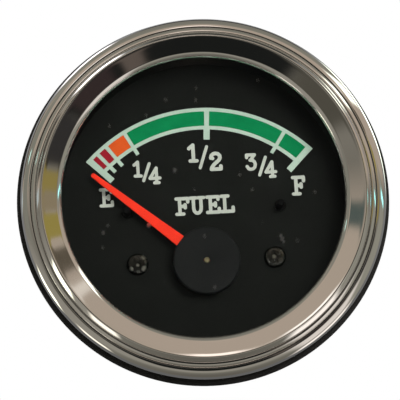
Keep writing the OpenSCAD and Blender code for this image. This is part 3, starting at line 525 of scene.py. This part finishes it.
# Lettering: rounded slab letters in a greyer ink than the lines. Each is sketched as pen
# strokes in units of its height, and all the strokes are united into one flat print.
ink_t, ink_sunk = 0.06, 0.003
pen = {
    "F": [[(.26, .1), (.26, .9)], [(.08, .9), (.72, .9), (.72, .72)], [(.26, .5), (.56, .5)],
          [(.56, .58), (.56, .42)], [(.08, .1), (.46, .1)]],
    "U": [[(.24, .9), (.24, .36), (.27, .22), (.36, .12), (.45, .1), (.54, .12), (.63, .22),
           (.66, .36), (.66, .9)], [(.08, .9), (.38, .9)], [(.52, .9), (.82, .9)]],
    "E": [[(.26, .1), (.26, .9)], [(.08, .9), (.70, .9), (.70, .76)], [(.26, .5), (.54, .5)],
          [(.54, .58), (.54, .42)], [(.08, .1), (.74, .1), (.74, .28)]],
    "L": [[(.26, .1), (.26, .9)], [(.08, .9), (.46, .9)], [(.08, .1), (.72, .1), (.72, .30)]],
    "1": [[(.30, .1), (.30, .88), (.10, .72)], [(.14, .1), (.46, .1)]],
    "2": [[(.14, .68), (.17, .80), (.26, .88), (.37, .90), (.49, .87), (.57, .78), (.58, .67),
           (.52, .56), (.40, .46), (.26, .34), (.16, .20), (.14, .12), (.60, .12), (.60, .26)],
          [(.14, .70), (.22, .66)]],
    "3": [[(.12, .76), (.12, .90), (.56, .90), (.34, .62)],
          [(.30, .60), (.44, .59), (.54, .50), (.58, .36), (.54, .20), (.44, .11), (.32, .09),
           (.20, .13), (.12, .26)]],
    "4": [[(.44, .08), (.44, .90), (.08, .34), (.62, .34)], [(.32, .08), (.56, .08)]],
}


def stroke_outline(start, end, half):
    """A round-ended bar between two points, as a closed row of points"""
    along = Vector(end) - Vector(start)
    turn = math.degrees(math.atan2(along.y, along.x))
    return (arc(end, half, half, turn - 90, turn + 90, 10)
            + arc(start, half, half, turn + 90, turn + 270, 10))


def pushed(bm, faces, along, keep=True):
    """Draws faces out into a block, along the way given"""
    grown = bmesh.ops.extrude_face_region(bm, geom=faces, use_keep_orig=keep)
    far_side = [item for item in grown["geom"] if isinstance(item, bmesh.types.BMVert)]
    bmesh.ops.translate(bm, vec=along, verts=far_side)


def lettered(name, bars):
    """United print of bars given as (start, end, half width) in millimetres on the dial"""
    points, rows = [], []
    for start, end, half in bars:
        ring = stroke_outline(start, end, half)
        rows.append(range(len(points), len(points) + len(ring)))
        points += [Vector(p) for p in ring]
    united = delaunay_2d_cdt(points, [], [list(r) for r in rows], 1, 1e-5)
    bm = bmesh.new()
    corners = [bm.verts.new((p.x, -dial_z - ink_sunk, p.y)) for p in united[0]]
    for face, sources in zip(united[2], united[5]):
        if sources:
            bm.faces.new([corners[i] for i in face])
    bmesh.ops.delete(bm, geom=[v for v in bm.verts if not v.link_faces], context="VERTS")
    bmesh.ops.dissolve_limit(bm, angle_limit=0.001, verts=bm.verts, edges=bm.edges)
    pushed(bm, bm.faces[:], (0, ink_sunk - ink_t, 0))
    made(name, bm, "gauge", letter_ink, "ink_white")


def written(sign, x, up, high, wide=1.0, weight=0.088):
    """Bars of one sign, with its lower left corner at x, up"""
    bars = []
    for row in pen[sign]:
        spots = [Vector((x + px * wide * high, up + py * high)) for px, py in row]
        bars += [(a, b, weight * high) for a, b in zip(spots, spots[1:])]
    return bars


slash_half = 0.25
fuel_x, fuel_up, fuel_climb = -4.56, -2.04, 0.008
fuel = []
for sign, x in (("F", fuel_x), ("U", -2.26), ("E", 0.42), ("L", 2.74)):
    fuel += written(sign, x, fuel_up + (x - fuel_x) * fuel_climb, 3.15, 0.92)
lettered("word_fuel", fuel)
lettered("letter_empty", written("E", -16.73, -0.03, 3.3, 0.84, 0.078))
lettered("letter_full", written("F", 14.55, 0.25, 3.4, 0.80, 0.082))
lettered("figure_quarter", written("1", -11.15, 4.62, 2.95)
         + written("4", -8.60, 3.42, 2.95) + [((-8.38, 6.86), (-9.42, 4.10), slash_half)])
lettered("figure_half", written("1", -2.15, 6.60, 3.35)
         + written("2", 1.22, 4.98, 3.35) + [((1.09, 9.18), (-0.13, 5.74), slash_half)])
lettered("figure_three_quarters", written("3", 7.15, 4.78, 2.95)
         + written("4", 10.26, 3.45, 2.95) + [((10.55, 6.93), (9.46, 4.03), slash_half)])


# Dial screws: blackened steel pan heads with a cross recess, driven through the dial into the
# movement's pillars.

def flat_face(bm, corners):
    """One flat face from its corners in order round the edge"""
    return bm.faces.new([bm.verts.new(corner) for corner in corners])


def on_dial(tree):
    """Places fixed to the piece, as seen straight on: x and up, with no depth"""
    return add_node(tree, "VectorMath", on_piece(tree), (1, 0, 1),
                    operation="MULTIPLY").outputs[0]


def marked_places(tree, places):
    """Round soft marks on a face: (x, up, reach, amount) in millimetres, as one 0 to 1 output"""
    flat = on_dial(tree)
    marks = 0.0
    for x, up, reach, amount in places:
        off = add_node(tree, "VectorMath", flat, (x / 1000, 0, up / 1000), operation="DISTANCE")
        mark = ranged(tree, off.outputs["Value"], reach / 1000, reach / 4000, 0.0, amount,
                      smooth=True)
        marks = maths(tree, "MAXIMUM", marks, mark)
    return marks


screw_black = finish("screw_black", (0.070, 0.070, 0.066), (0.052, 0.052, 0.048), metal=1,
                     rough=(0.18, 0.26), grain=1400, lift=0.0008, patch=500)
# Painted highlights: lighter steel-grey, rougher spots on the heads where the light catches
# them, more or less at each place: (x, up, reach, amount)
highlight_spots = ((-11.1, -9.75, 0.38, 0.75), (-10.05, -8.55, 0.62, 0.6), (-9.75, -9.3, 0.5, 0.2),
              (-10.05, -10.42, 0.62, 0.75), (-11.1, -10.85, 0.4, 0.25),
              (-12.15, -10.38, 0.5, 0.7), (10.95, -9.55, 0.48, 0.75), (11.5, -8.4, 0.7, 0.10),
              (12.1, -8.9, 0.75, 0.16), (12.2, -9.6, 0.7, 0.14), (12.0, -10.25, 0.75, 0.2),
              (11.4, -10.65, 0.7, 0.14), (10.6, -10.6, 0.7, 0.10), (9.85, -10.25, 0.6, 0.16))
tree = screw_black.node_tree
shade = tree.nodes["Principled BSDF"]
blackened, blackened_gloss = [shade.inputs[socket].links[0].from_socket
                              for socket in ("Base Color", "Roughness")]
painted_highlights = marked_places(tree, highlight_spots)
# Paints the highlights in steel grey over the blackened colour, and makes them rougher
put(tree, shade, Base_Color=blended(tree, painted_highlights, blackened, (0.40, 0.40, 0.355, 1)),
    Roughness=ranged(tree, painted_highlights, 0.0, 1.0, blackened_gloss, 0.6))
screw_x, screw_up, head_r, head_h = 11.1, -9.6, 1.75, 1.0
shank_r, shank_end = 0.9, -5.2
heads = bmesh.new()
crosses = bmesh.new()
arm, half_arm, recess_d = 1.0, 0.25, 0.5
for side, turn in ((-1, 38), (1, 12)):
    spun(heads, [(0, shank_end), (shank_r - 0.05, shank_end), (shank_r, shank_end + 0.1),
                 (shank_r, dial_z), (head_r - 0.05, dial_z), (head_r, dial_z + 0.06)]
         + arc((head_r - 0.62, dial_z + head_h - 0.66), 0.62, 0.6, 0, 90, 10)
         + [(shank_r, dial_z + head_h - 0.045), (0, dial_z + head_h)], 48, side * screw_x,
         screw_up, ring=False)
    quarter = [(half_arm, half_arm), (half_arm, arm), (-half_arm, arm)]
    corners = []
    for part in range(4):
        square = Matrix.Rotation(math.radians(90 * part + turn), 2)
        corners += [square @ Vector(corner) for corner in quarter]
    floor_y = recess_d - dial_z - head_h
    recess = flat_face(crosses, [(c.x + side * screw_x, floor_y, c.y + screw_up)
                                 for c in corners])
    pushed(crosses, [recess], (0, -2, 0))
made("cross_screws", joined(heads, crosses), "gauge", screw_black, "screw_black",
     "dial_screws")

# Stop pins: round-nosed black studs that the needle rests against, pressed through the dial,
# each with a small collar at its foot.
stop_r, stop_top, stop_angle = 15.2, 0.95, 54.815
pin_r, pin_end, collar_r = 0.6, -2.8, 0.93
pins = bmesh.new()
for angle in (-stop_angle, stop_angle):
    x = stop_r * math.sin(math.radians(angle))
    up = pivot_up + stop_r * math.cos(math.radians(angle))
    spun(pins, [(0, pin_end), (pin_r, pin_end), (pin_r, dial_z), (collar_r, dial_z),
                (collar_r, dial_z + 0.3), (collar_r - 0.1, dial_z + 0.4), (pin_r, dial_z + 0.4)]
         + arc((pin_r - 0.3, stop_top - 0.3), 0.3, 0.3, 0, 90, 6)
         + [(0, stop_top)], 32, x, up, ring=False)
pin_black = finish("pin_black", (0.0035, 0.0035, 0.0036), (0.0060, 0.0060, 0.0060),
                   rough=(0.4, 0.55), grain=2600, patch=600, shine=0.06)
made("round_stop_pins", pins, "gauge", pin_black, "screw_black", "stop_pins")


# Needle: stamped from thin aluminium and painted signal red, with a moulded black cap pressed
# over its hub and a brass spindle showing in the middle of the cap.

def bevelled(bm, edges, offset, segments=2):
    bmesh.ops.bevel(bm, geom=edges, offset=offset, segments=segments, profile=0.5,
                    affect="EDGES", material=-1)


def swung(bm):
    """Turns a piece drawn upright to the needle's rest"""
    bmesh.ops.rotate(bm, verts=bm.verts, cent=(0, 0, 0),
                     matrix=Matrix.Rotation(math.radians(rest_angle), 3, "Y"))
    return bm


def on_pivot(bm):
    """Sets a piece drawn in the middle of the gauge on the needle's pivot"""
    bmesh.ops.translate(bm, vec=(0, 0, pivot_up), verts=bm.verts)
    return bm


needle_red = finish("needle_red", (0.93, 0.040, 0.0165), (0.86, 0.034, 0.0145),
                    rough=(0.45, 0.6), grain=3800, patch=300, shine=0.12)
rest_angle = -49.7
needle_low, needle_t = 0.15, 0.4
cap_r, cap_low, cap_top = 5.4, -0.55, 1.25

blade = bmesh.new()
half_root, half_tip, reach = 0.95, 0.375, 23.3
hub_r, tail, shaft_r = 3.2, -4.3, 0.45
neck = math.degrees(math.acos(half_root / hub_r))
outline = (arc((0, reach - half_tip), half_tip, half_tip, 0, 180, 10)
           + [(-half_root, cap_r)] + arc((0, 0), hub_r, hub_r, 180 - neck, 180 + neck, 24)
           + [(-half_root, tail), (half_root, tail)]
           + arc((0, 0), hub_r, hub_r, -neck, neck, 24) + [(half_root, cap_r)])
face = flat_face(blade, [(x, -needle_low, up) for x, up in outline])
pushed(blade, [face], (0, -needle_t, 0))
rim = [e for e in blade.edges
       if all(abs(v.co.y + needle_low + needle_t) < 1e-5 for v in e.verts)]
bevelled(blade, rim, 0.1, 3)
blade = on_pivot(swung(joined(blade, rod(bmesh.new(), shaft_r, -1, 2, steps=32))))
made("needle_blade", blade, "needle_rotor", needle_red, "needle_red", "needle")

cap_black = finish("cap_black", (0.0080, 0.0090, 0.0090), (0.0102, 0.0113, 0.0113),
                   rough=(0.5, 0.66), grain=3600, lift=0.006, patch=220, shine=0.18)
cap = spun(
    bmesh.new(),
    [(4.8, cap_low), (cap_r - 0.04, cap_low), (cap_r, cap_low + 0.06)]
    + arc((cap_r - 0.32, cap_top - 0.32), 0.32, 0.32, 0, 90, 8)
    + [(0.62, cap_top), (0.5, cap_top - 0.06), (0.5, cap_top - 0.5), (1.4, cap_top - 0.55),
       (1.4, cap_top - 0.65), (4.5, cap_top - 0.6)]
    + arc((4.5, cap_top - 0.9), 0.3, 0.3, 90, 0, 4),
    steps=128,
)
notch = bmesh.new()
slot_half, slot_top, slot_in, slot_out, open_r = 1.05, 0.57, 1.6, 8.0, 5.25
cutter = flat_face(notch, [(-slot_half, *corner) for corner in (
    (2.0, slot_in), (2.0, slot_out), (-2.0, slot_out), (-2.0, open_r), (-slot_top, open_r),
    (-slot_top, slot_in))])
pushed(notch, [cutter], (2 * slot_half, 0, 0))
made("moulded_cap", on_pivot(joined(cap, swung(notch))), "needle_rotor", cap_black, "cap_black",
     "hub_cap")

shaft = spun(
    bmesh.new(),
    [(0, -19.65), (0.2, -19.65), (0.25, -19.6), (0.25, -18.6), (0.4, -18.55),
     (shaft_r, -18.5), (shaft_r, cap_top), (shaft_r - 0.1, cap_top + 0.1), (0, cap_top + 0.1)],
    steps=32, up=pivot_up, ring=False,
)
dull_brass = finish("dull_brass", (0.21, 0.175, 0.085), (0.15, 0.125, 0.065), metal=0.15,
                    rough=(0.4, 0.6), grain=2600, lift=0.003, patch=900)
made("turned_spindle", shaft, "needle_rotor", dull_brass, "brass", "spindle")


# Glass and its seals: a flat disc with ground edges, between a black moulded ring that reaches
# down to the dial and a soft rubber ring under the bezel.
rubber = finish("black_rubber", (0.0085, 0.0085, 0.0088), (0.014, 0.0138, 0.0136),
                rough=(0.6, 0.8), grain=2600, lift=0.012, patch=160, shine=0.3)
refinish(rubber, "glass_gasket")
spacer_black = finish("spacer_black", (0.0060, 0.0062, 0.0060), (0.0085, 0.0085, 0.0085),
                      rough=(0.7, 0.85), grain=2400, lift=0.006, patch=160, shine=0.2)
refinish(spacer_black, "spacer_ring")

clear_glass, tree, shade = new_look("clear_glass")
haze = ranged(tree, clouded(tree, 240.0, 9.0, 0.7), 0.55, 0.85, 0.0, 0.012)
# Specks of dust and one short scratch, each dull on the polished glass
dust = ((-0.2, 17.7, 0.40, 0.5), (-0.4, 15.8, 0.45, 0.6), (-5.2, 16.1, 0.50, 0.5),
        (9.8, 18.5, 0.45, 0.5), (-8.5, 13.7, 0.45, 0.4), (-14.5, 12.3, 0.45, 0.5),
        (-4.4, 4.5, 0.55, 0.7), (6.0, 3.2, 0.45, 0.6), (-1.4, 1.2, 0.40, 0.4),
        (7.8, 0.7, 0.45, 0.6), (17.8, -0.2, 0.45, 0.6), (-9.0, -4.2, 0.55, 1.0),
        (-15.5, -3.9, 0.45, 0.6), (-16.3, -5.0, 0.50, 0.8), (-16.5, -7.4, 0.45, 0.5),
        (-0.2, -6.4, 0.45, 0.6), (0.9, -14.7, 0.50, 0.6), (9.1, -4.7, 0.40, 0.3),
        (11.9, -7.0, 0.45, 0.8), (12.1, -7.5, 0.50, 1.0), (12.3, -8.0, 0.40, 0.7),
        (14.5, -7.9, 0.60, 0.4))
put(tree, shade, Base_Color=(0.985, 1.0, 0.99, 1), Transmission_Weight=1.0, IOR=1.45,
    Roughness=maths(tree, "MULTIPLY_ADD", marked_places(tree, dust), 0.45, haze))
ray = add_node(tree, "LightPath").outputs
open_air = add_node(tree, "BsdfTransparent").outputs[0]
pane_look = shade.outputs[0]
for kind in ("Is Shadow Ray", "Is Diffuse Ray"):
    pane_look = either(tree, ray[kind], pane_look, open_air)
put(tree, tree.nodes["Material Output"], Surface=pane_look)
pane_r, pane_low, pane_top, ground = 25.94, 3.1, 4.6, 0.2
pane = spun(
    bmesh.new(),
    [(0, pane_low), (pane_r - ground, pane_low), (pane_r, pane_low + ground),
     (pane_r, pane_top - ground), (pane_r - ground, pane_top), (0, pane_top)],
    steps=128, ring=False,
)
made("glass_pane", pane, "gauge", clear_glass, "lens_glass", "glass", crease=20)


# Bezel: brass sheet spun to a lip, a plain sloping band, a crown with a steep flank, a shallow
# ring and a round bead, rolled over the case's flange, then plated and polished. The grooves
# hold dirt, and their colour is also painted darker for the shade that falls in them.
lip_c = (23.67, 4.75)
band_slope = 12.5
crown_c = (26.5419, 0.0496)
ridge_c = (25.9199, 5.967)
flank_c = (23.0788, 3.0249)
ring_c = (26.82, 4.70)
bead_c = (27.666, 3.70)
bead_in = 28.72 - bead_c[0]
roll_c = (28.02, 2.6)
# Outline from the rolled edge, out over the beads and in to the lip, and back along the inside
bezel_outline = (
    [(26.9, 1.4)]
    + arc(roll_c, 1.2, 1.2, -90, 0, 14)
    + arc(bead_c, 1.554, 1.554, 0, 98, 40)
    + arc(ring_c, 0.85, 0.85, 45, 100, 20)
    + arc(flank_c, 4.34, 4.34, 36, 46, 10)
    + arc(ridge_c, 0.25, 0.25, 46, 96, 14)
    + arc(crown_c, 6.2, 6.2, 96, 90 + band_slope, 10)
    + [(25.1, 6.0804), (23.68, 5.7656), (23.58, 5.7435)]
    + arc(lip_c, 1.07, 0.99, 98, 182, 26)
    + arc(lip_c, 0.57, 0.43, 180, 90, 8)
    + arc((25.85, 5.4756), 0.25, 0.25, 90 + band_slope, 0, 6)
    + [(26.22, 5.0), (26.6, 4.66)]
    + arc(bead_c, bead_in, bead_in, 90, 0, 10)
    + arc(roll_c, 0.7, 0.7, 0, -90, 6)
    + [(26.9, 1.9)]
)
chrome, tree, shade = new_look("bright_chrome")
where = on_piece(tree)
radius = add_node(tree, "VectorMath", on_dial(tree), operation="LENGTH").outputs["Value"]
# Darker, duller rings at the grooves' radii: partly dirt, partly painted shade in the hollows
grooves = ((0.16, 0.0), (0.215, 0.45), (0.26, 0.0), (0.58, 0.0), (0.62, 0.35), (0.66, 0.0))
groove = shaded(tree, ranged(tree, radius, 0.0262, 0.0282), (0, 0, 0), (0, 0, 0),
                [(spot, (amount, amount, amount)) for spot, amount in grooves])
spotty = ranged(tree, clouded(tree, 420.0, 8.0, 0.65, where), 0.3, 0.6)
groove_dirt_and_shade = maths(tree, "MULTIPLY", groove, spotty)
cloud = clouded(tree, 95.0, 9.0, 0.7, where)
polish = ranged(tree, cloud, 0.35, 0.75, 0.03, 0.085)
put(tree, shade, Metallic=1.0,
    Base_Color=blended(tree, groove_dirt_and_shade, (0.77, 0.76, 0.74, 1), (0.16, 0.14, 0.11, 1)),
    Roughness=maths(tree, "MULTIPLY_ADD", groove_dirt_and_shade, 0.5, polish),
    Normal=bumped(tree, cloud, 0.25, 0.000004))
made("spun_bezel", spun(bmesh.new(), bezel_outline, 360), "gauge", chrome, "bezel_chrome",
     "bezel", crease=40)

# Panel gasket: a moulded rubber ring with a rounded edge, just proud of the bezel all round,
# which seals the bezel to the panel.
edge_at, edge_r, gasket_in, gasket_t = 29.39, 0.6, 26.32, 1.4
gasket = spun(
    bmesh.new(),
    [(gasket_in, 0.05), (gasket_in + 0.08, 0)] + arc((edge_at, edge_r), edge_r, edge_r, -90, 0, 8)
    + arc((edge_at, gasket_t - edge_r), edge_r, edge_r, 0, 90, 8)
    + [(gasket_in + 0.08, gasket_t), (gasket_in, gasket_t - 0.05)],
    steps=180,
)
made("rubber_panel_ring", gasket, "gauge", rubber, "black_rubber", "panel_gasket")


# Terminals: two threaded brass studs in nylon sleeves, each with an insulator, a plated washer
# and a hexagon nut.

def thread(bm, r, z0, z1, pitch=0.7, x=0.0, up=0.0):
    """A screw thread between two heights: a core with one ridge wound round it"""
    root = r - 0.3
    rod(bm, root, z0, z1, x, up, chamfer=0.15, steps=32)
    steps = 24
    turns = int((z1 - z0 - pitch) / pitch)
    ridge = [(root - 0.03, -z0 - 0.05), (r, -z0 - pitch * 0.42), (r, -z0 - pitch * 0.54),
             (root - 0.03, -z0 - pitch * 0.93)]
    corners = [bm.verts.new((x + reach, y, up)) for reach, y in ridge]
    edges = [bm.edges.new(pair) for pair in zip(corners, corners[1:] + corners[:1])]
    wound = bmesh.ops.spin(bm, geom=corners + edges, cent=(x, 0, up), axis=(0, -1, 0),
                           dvec=(0, -pitch / steps, 0), angle=math.tau * turns,
                           steps=steps * turns)
    closed(bm, edges, wound["geom_last"])


stud_end, nut_z, washer_z = -42.6, -34.6, -31.8
stud_head, stud_head_r, stud_head_low = -18.7, 2.6, -20.3
studs = bmesh.new()
for side in (-1, 1):
    x = side * terminal_x
    rod(studs, stud_r, nut_z, stud_head_low, x, terminal_up)
    rod(studs, stud_head_r, stud_head_low, stud_head, x, terminal_up, chamfer=0.3)
    rod(studs, stud_r - 0.2, nut_z - 0.6, nut_z, x, terminal_up)
    thread(studs, stud_r, stud_end, nut_z - 0.6, x=x, up=terminal_up)
made("threaded_terminals", studs, "gauge", brass, "brass", "terminal_studs")
refinish(natural_nylon, "terminal_sleeves")
refinish(black_nylon, "terminal_insulators")
washer_in, washer_out, washer_top = 2.06, 4.0, -31.2
washers = bmesh.new()
for side in (-1, 1):
    spun(washers, [(washer_in, washer_z + 0.05), (washer_in + 0.06, washer_z),
                   (washer_out - 0.1, washer_z), (washer_out, washer_z + 0.12),
                   (washer_out, washer_top - 0.05), (washer_out - 0.05, washer_top),
                   (washer_in, washer_top)], 64, side * terminal_x, terminal_up)
made("plated_washers", washers, "gauge", zinc, "zinc_steel", "terminal_washers")


def hex_nut(x, up, across, low, high, bore):
    """A hexagon nut with its corners turned off, bored through"""
    corner = across / 2 / math.cos(math.pi / 6)
    flats = bmesh.new()
    bmesh.ops.create_cone(flats, cap_ends=True, segments=6, depth=high - low, radius1=corner,
                          radius2=corner, matrix=Matrix.Rotation(math.pi / 2, 4, "X"))
    bmesh.ops.translate(flats, vec=(x, -(low + high) / 2, up), verts=flats.verts)
    flat = across / 2 * 0.97
    drop = (corner - flat) * math.tan(math.radians(30))
    barrel = spun(
        bmesh.new(),
        [(bore, low + 0.25), (bore + 0.25, low - 0.001), (flat, low - 0.001),
         (corner + 0.2, low + drop + 0.1), (corner + 0.2, high - drop - 0.1),
         (flat, high + 0.001), (bore + 0.25, high + 0.001), (bore, high - 0.25)],
        64, x, up,
    )
    return joined(flats, barrel, "INTERSECT")


def merged(parts):
    """Puts several bmeshes into one"""
    whole = bmesh.new()
    for bm in parts:
        step = meshed("step", bm)
        whole.from_mesh(step)
        bpy.data.meshes.remove(step)
    return whole


made("hexagon_nuts", merged([hex_nut(side * terminal_x, terminal_up, 7, nut_z, washer_z, 1.95)
                             for side in (-1, 1)]), "gauge", brass, "brass",
     "terminal_nuts")

# Ground blade: tinned brass strip bent to a push-on blade and riveted to the case's back. The
# rivet is plated steel.
tinned = finish("tinned_brass", (0.66, 0.63, 0.54), (0.56, 0.52, 0.42), metal=1,
                rough=(0.22, 0.38), grain=1300, lift=0.002, patch=170)
blade_half, blade_t = 3.15, 0.8
foot_back, bend_up, blade_end = -case_back, -16.7, 38.8
tab = bmesh.new()
block(tab, -blade_half, blade_half, foot_back, foot_back + blade_t, -22.5, bend_up)
pushed(tab, [f for f in tab.faces if f.calc_center_median().z > bend_up - 0.01],
       (0, 0, blade_t), keep=False)
back = [f for f in tab.faces if f.calc_center_median().z > bend_up
        and f.calc_center_median().y > foot_back + blade_t - 0.01]
pushed(tab, back, (0, blade_end - foot_back - blade_t, 0), keep=False)
bevelled(tab, [e for e in tab.edges if all(v.co.y > blade_end - 0.1 for v in e.verts)], 0.25)
tab = joined(tab, rod(bmesh.new(), rivet_r, case_back - 1.5, case_back + 0.5, up=rivet_up))
made("ground_tab", tab, "gauge", tinned, "tinned_brass", "ground_blade")
rivet = spun(bmesh.new(), [(0, -31.5)] + arc((0, -30.8), 2, 0.7, -90, 0, 10)
             + [(rivet_r, -30.8), (rivet_r, -29.2), (2.0, -29.2), (1.9, -28.7),
                (rivet_r, -28.5), (0, -28.5)], 48, up=rivet_up, ring=False)
made("domed_rivet", rivet, "gauge", zinc, "zinc_steel", "ground_rivet")


# Clamp: a plated strap bent to a U whose feet press on the back of the panel, drawn up along
# two threaded studs by knurled brass nuts on split spring washers.
inner_back, thread_top, thread_end = -29.2, -31.0, -46.65
clamp_studs = bmesh.new()
for side in (-1, 1):
    x = side * clamp_x
    rod(clamp_studs, 3.0, inner_back, inner_back + 0.8, x, chamfer=0.2)
    rod(clamp_studs, stud_r, thread_top, inner_back, x)
    thread(clamp_studs, stud_r, thread_end, thread_top, x=x)
made("threaded_clamp_studs", clamp_studs, "gauge", zinc, "zinc_steel", "clamp_studs")

leg_in, leg_out, foot_z, strap_low, bend_r, strap_t = 27.0, 28.2, -6.0, -35.7, 2.6, 1.2
strap_w = 12.0
bend_x, bend_z = leg_out - bend_r, strap_low + bend_r
inner_r = bend_r - strap_t
path = ([(-leg_out, foot_z)] + arc((-bend_x, bend_z), bend_r, bend_r, 180, 270, 10)
        + arc((bend_x, bend_z), bend_r, bend_r, 270, 360, 10)
        + [(leg_out, foot_z), (leg_in, foot_z)]
        + arc((bend_x, bend_z), inner_r, inner_r, 360, 270, 10)
        + arc((-bend_x, bend_z), inner_r, inner_r, 270, 180, 10) + [(-leg_in, foot_z)])
strap = bmesh.new()
side_face = flat_face(strap, [(x, -z, -strap_w / 2) for x, z in path])
pushed(strap, [side_face], (0, 0, strap_w))
bmesh.ops.recalc_face_normals(strap, faces=strap.faces)
bevelled(strap, [e for e in strap.edges if abs(e.verts[0].co.z - e.verts[1].co.z) < 1e-4], 0.15)
holes = bmesh.new()
for side in (-1, 1):
    rod(holes, stud_r + 0.15, -37, -33, side * clamp_x)
made("bent_clamp", joined(strap, holes), "clamp", zinc, "zinc_steel", "u_clamp")

spring_steel = finish("spring_steel", (0.20, 0.20, 0.21), (0.14, 0.13, 0.13), metal=1,
                      rough=(0.3, 0.5), grain=1500, lift=0.003, patch=300)
spring_in, spring_out, spring_low, spring_top = 2.2, 3.6, -36.7, -35.7
springs = bmesh.new()
for side in (-1, 1):
    spun(springs, [(spring_in, spring_low), (spring_out - 0.1, spring_low),
                   (spring_out, spring_low + 0.1), (spring_out, spring_top - 0.1),
                   (spring_out - 0.1, spring_top), (spring_in, spring_top)],
         60, side * clamp_x, turn=350, first=20)
made("split_springs", springs, "clamp", spring_steel, "spring_steel", "spring_washers")


def knurled_nut(name, body, node, x):
    """A finger nut: plain collar under a fluted rim"""
    bore, low, rim_top, top = 2.05, -42.15, -38.15, -36.75
    collar = spun(
        bmesh.new(),
        [(bore, low + 0.15), (bore + 0.15, low), (4.75, low), (5.0, low + 0.25),
         (5.0, rim_top - 0.25), (4.75, rim_top), (3.6, rim_top), (3.6, top - 0.15),
         (3.45, top), (bore + 0.15, top), (bore, top - 0.15)], 120, x)
    flute_r, flutes_at, flute_count = 0.7, 5.35, 20
    flutes = bmesh.new()
    for i in range(flute_count):
        turn = math.tau * i / flute_count
        rod(flutes, flute_r, -43, -37.9, x + flutes_at * math.cos(turn),
            flutes_at * math.sin(turn), steps=20)
    made(name, joined(collar, flutes), body, brass, "brass", node)


knurled_nut("knurled_nut_left", "left_nut", "thumb_nut_left", -clamp_x)
knurled_nut("knurled_nut_right", "right_nut", "thumb_nut_right", clamp_x)


# Lamp: a push-in holder of tinned brass with a fibre disc and a blade, and a small bayonet bulb
# that lights the inside of the case.
socket = spun(
    bmesh.new(),
    [(5.42, -33.8), (5.52, -33.9), (5.82, -33.9), (5.92, -33.8), (5.92, -30.9), (7.12, -30.9),
     (7.22, -30.8), (7.22, -30.4), (7.12, -30.3), (5.92, -30.3), (5.92, -22.9), (5.77, -22.7),
     (5.5, -22.7), (5.42, -22.8)], up=lamp_up,
)
made("lamp_sleeve", socket, "lamp", tinned, "tinned_brass", "lamp_socket")
refinish(laminate, "lamp_insulator")
blade_root, blade_tip, hole_y, hole_r, foot_half, foot_t = 32.9, 41.9, 39.6, 0.8, 1.6, 0.5
contact = bmesh.new()
block(contact, -blade_half, blade_half, blade_root, blade_tip, lamp_up - blade_t / 2,
      lamp_up + blade_t / 2)
bevelled(contact, [e for e in contact.edges
                   if all(v.co.y > blade_tip - 0.9 for v in e.verts)], 0.25)
hole = bmesh.new()
bmesh.ops.create_cone(hole, cap_ends=True, segments=32, radius1=hole_r, radius2=hole_r, depth=4)
bmesh.ops.translate(hole, vec=(0, hole_y, lamp_up), verts=hole.verts)
foot = bmesh.new()
block(foot, -blade_half, blade_half, blade_root - foot_t, blade_root, lamp_up - foot_half,
      lamp_up + foot_half)
made("lamp_contact", merged([joined(contact, hole), foot]), "lamp", tinned, "tinned_brass",
     "lamp_blade")

base_r, base_low, base_top, bayonet_y = 4.5, -31.6, -22.2, 27.6
bulb = spun(
    bmesh.new(),
    [(0, base_low - 0.8)] + arc((0, base_low - 0.3), 1.5, 0.5, -90, 0, 8)
    + [(1.5, base_low), (base_r - 0.3, base_low), (base_r, base_low + 0.3),
       (base_r, base_top - 0.3), (base_r - 0.3, base_top), (3.3, base_top), (0, base_top)],
    64, up=lamp_up, ring=False,
)
for side in (-1, 1):
    pin = bmesh.ops.create_cone(bulb, cap_ends=True, segments=20, radius1=0.5, radius2=0.5,
                                depth=1.2, matrix=Matrix.Rotation(math.pi / 2, 4, "Y"))
    bmesh.ops.translate(bulb, vec=(side * 4.2, bayonet_y, lamp_up), verts=pin["verts"])
made("bayonet_base", bulb, "lamp", brass, "brass", "bulb_base")

thin_glass, tree, shade = new_look("thin_bulb_glass")
smoke = clouded(tree, 180.0, 4.0)
put(tree, shade, Base_Color=shaded(tree, smoke, (0.86, 0.86, 0.82), (0.98, 0.98, 0.97)),
    Roughness=ranged(tree, smoke, 0.0, 1.0, 0.0, 0.06), Transmission_Weight=1.0, IOR=1.1)
ball_z, ball_r, neck_r, shell = -18.907, 4.4, 3.4, 0.25
low_a = -math.degrees(math.acos(neck_r / ball_r))
in_a = -math.degrees(math.acos((neck_r - shell) / (ball_r - shell)))
bulb_shell = spun(
    bmesh.new(),
    [(neck_r, base_top)] + arc((0, ball_z), ball_r, ball_r, low_a, 90, 24)
    + arc((0, ball_z), ball_r - shell, ball_r - shell, 90, in_a, 24)
    + [(neck_r - shell, base_top)], 64, up=lamp_up,
)
made("bulb_envelope", bulb_shell, "lamp", thin_glass, "bulb_glass", "bulb_glass")

# Filament: a fine coil between two support wires that stand up from the bulb's base. It is
# inside the envelope, and the CAD has no solid for it.
support = finish("support_wire", (0.30, 0.30, 0.31), (0.22, 0.22, 0.23), metal=1,
                 rough=(0.3, 0.45), grain=3000, lift=0.001, patch=900)
wire_x, wire_r, wire_top = 1.5, 0.14, -18.4
coil_y, coil_r, coil_wire, coil_turns = 18.5, 0.28, 0.05, 12
coil_steps = 20 * coil_turns
wires = bmesh.new()
for side in (-1, 1):
    rod(wires, wire_r, base_top, wire_top, side * wire_x, lamp_up, steps=12)
ring = [wires.verts.new((-wire_x, coil_y + coil_r + coil_wire * math.cos(math.tau * i / 6),
                         lamp_up + coil_wire * math.sin(math.tau * i / 6))) for i in range(6)]
edges = [wires.edges.new(pair) for pair in zip(ring, ring[1:] + ring[:1])]
bmesh.ops.spin(wires, geom=ring + edges, cent=(0, coil_y, lamp_up), axis=(1, 0, 0),
               dvec=(2 * wire_x / coil_steps, 0, 0), angle=math.tau * coil_turns,
               steps=coil_steps)
made("filament", wires, "lamp", support, "spring_steel")
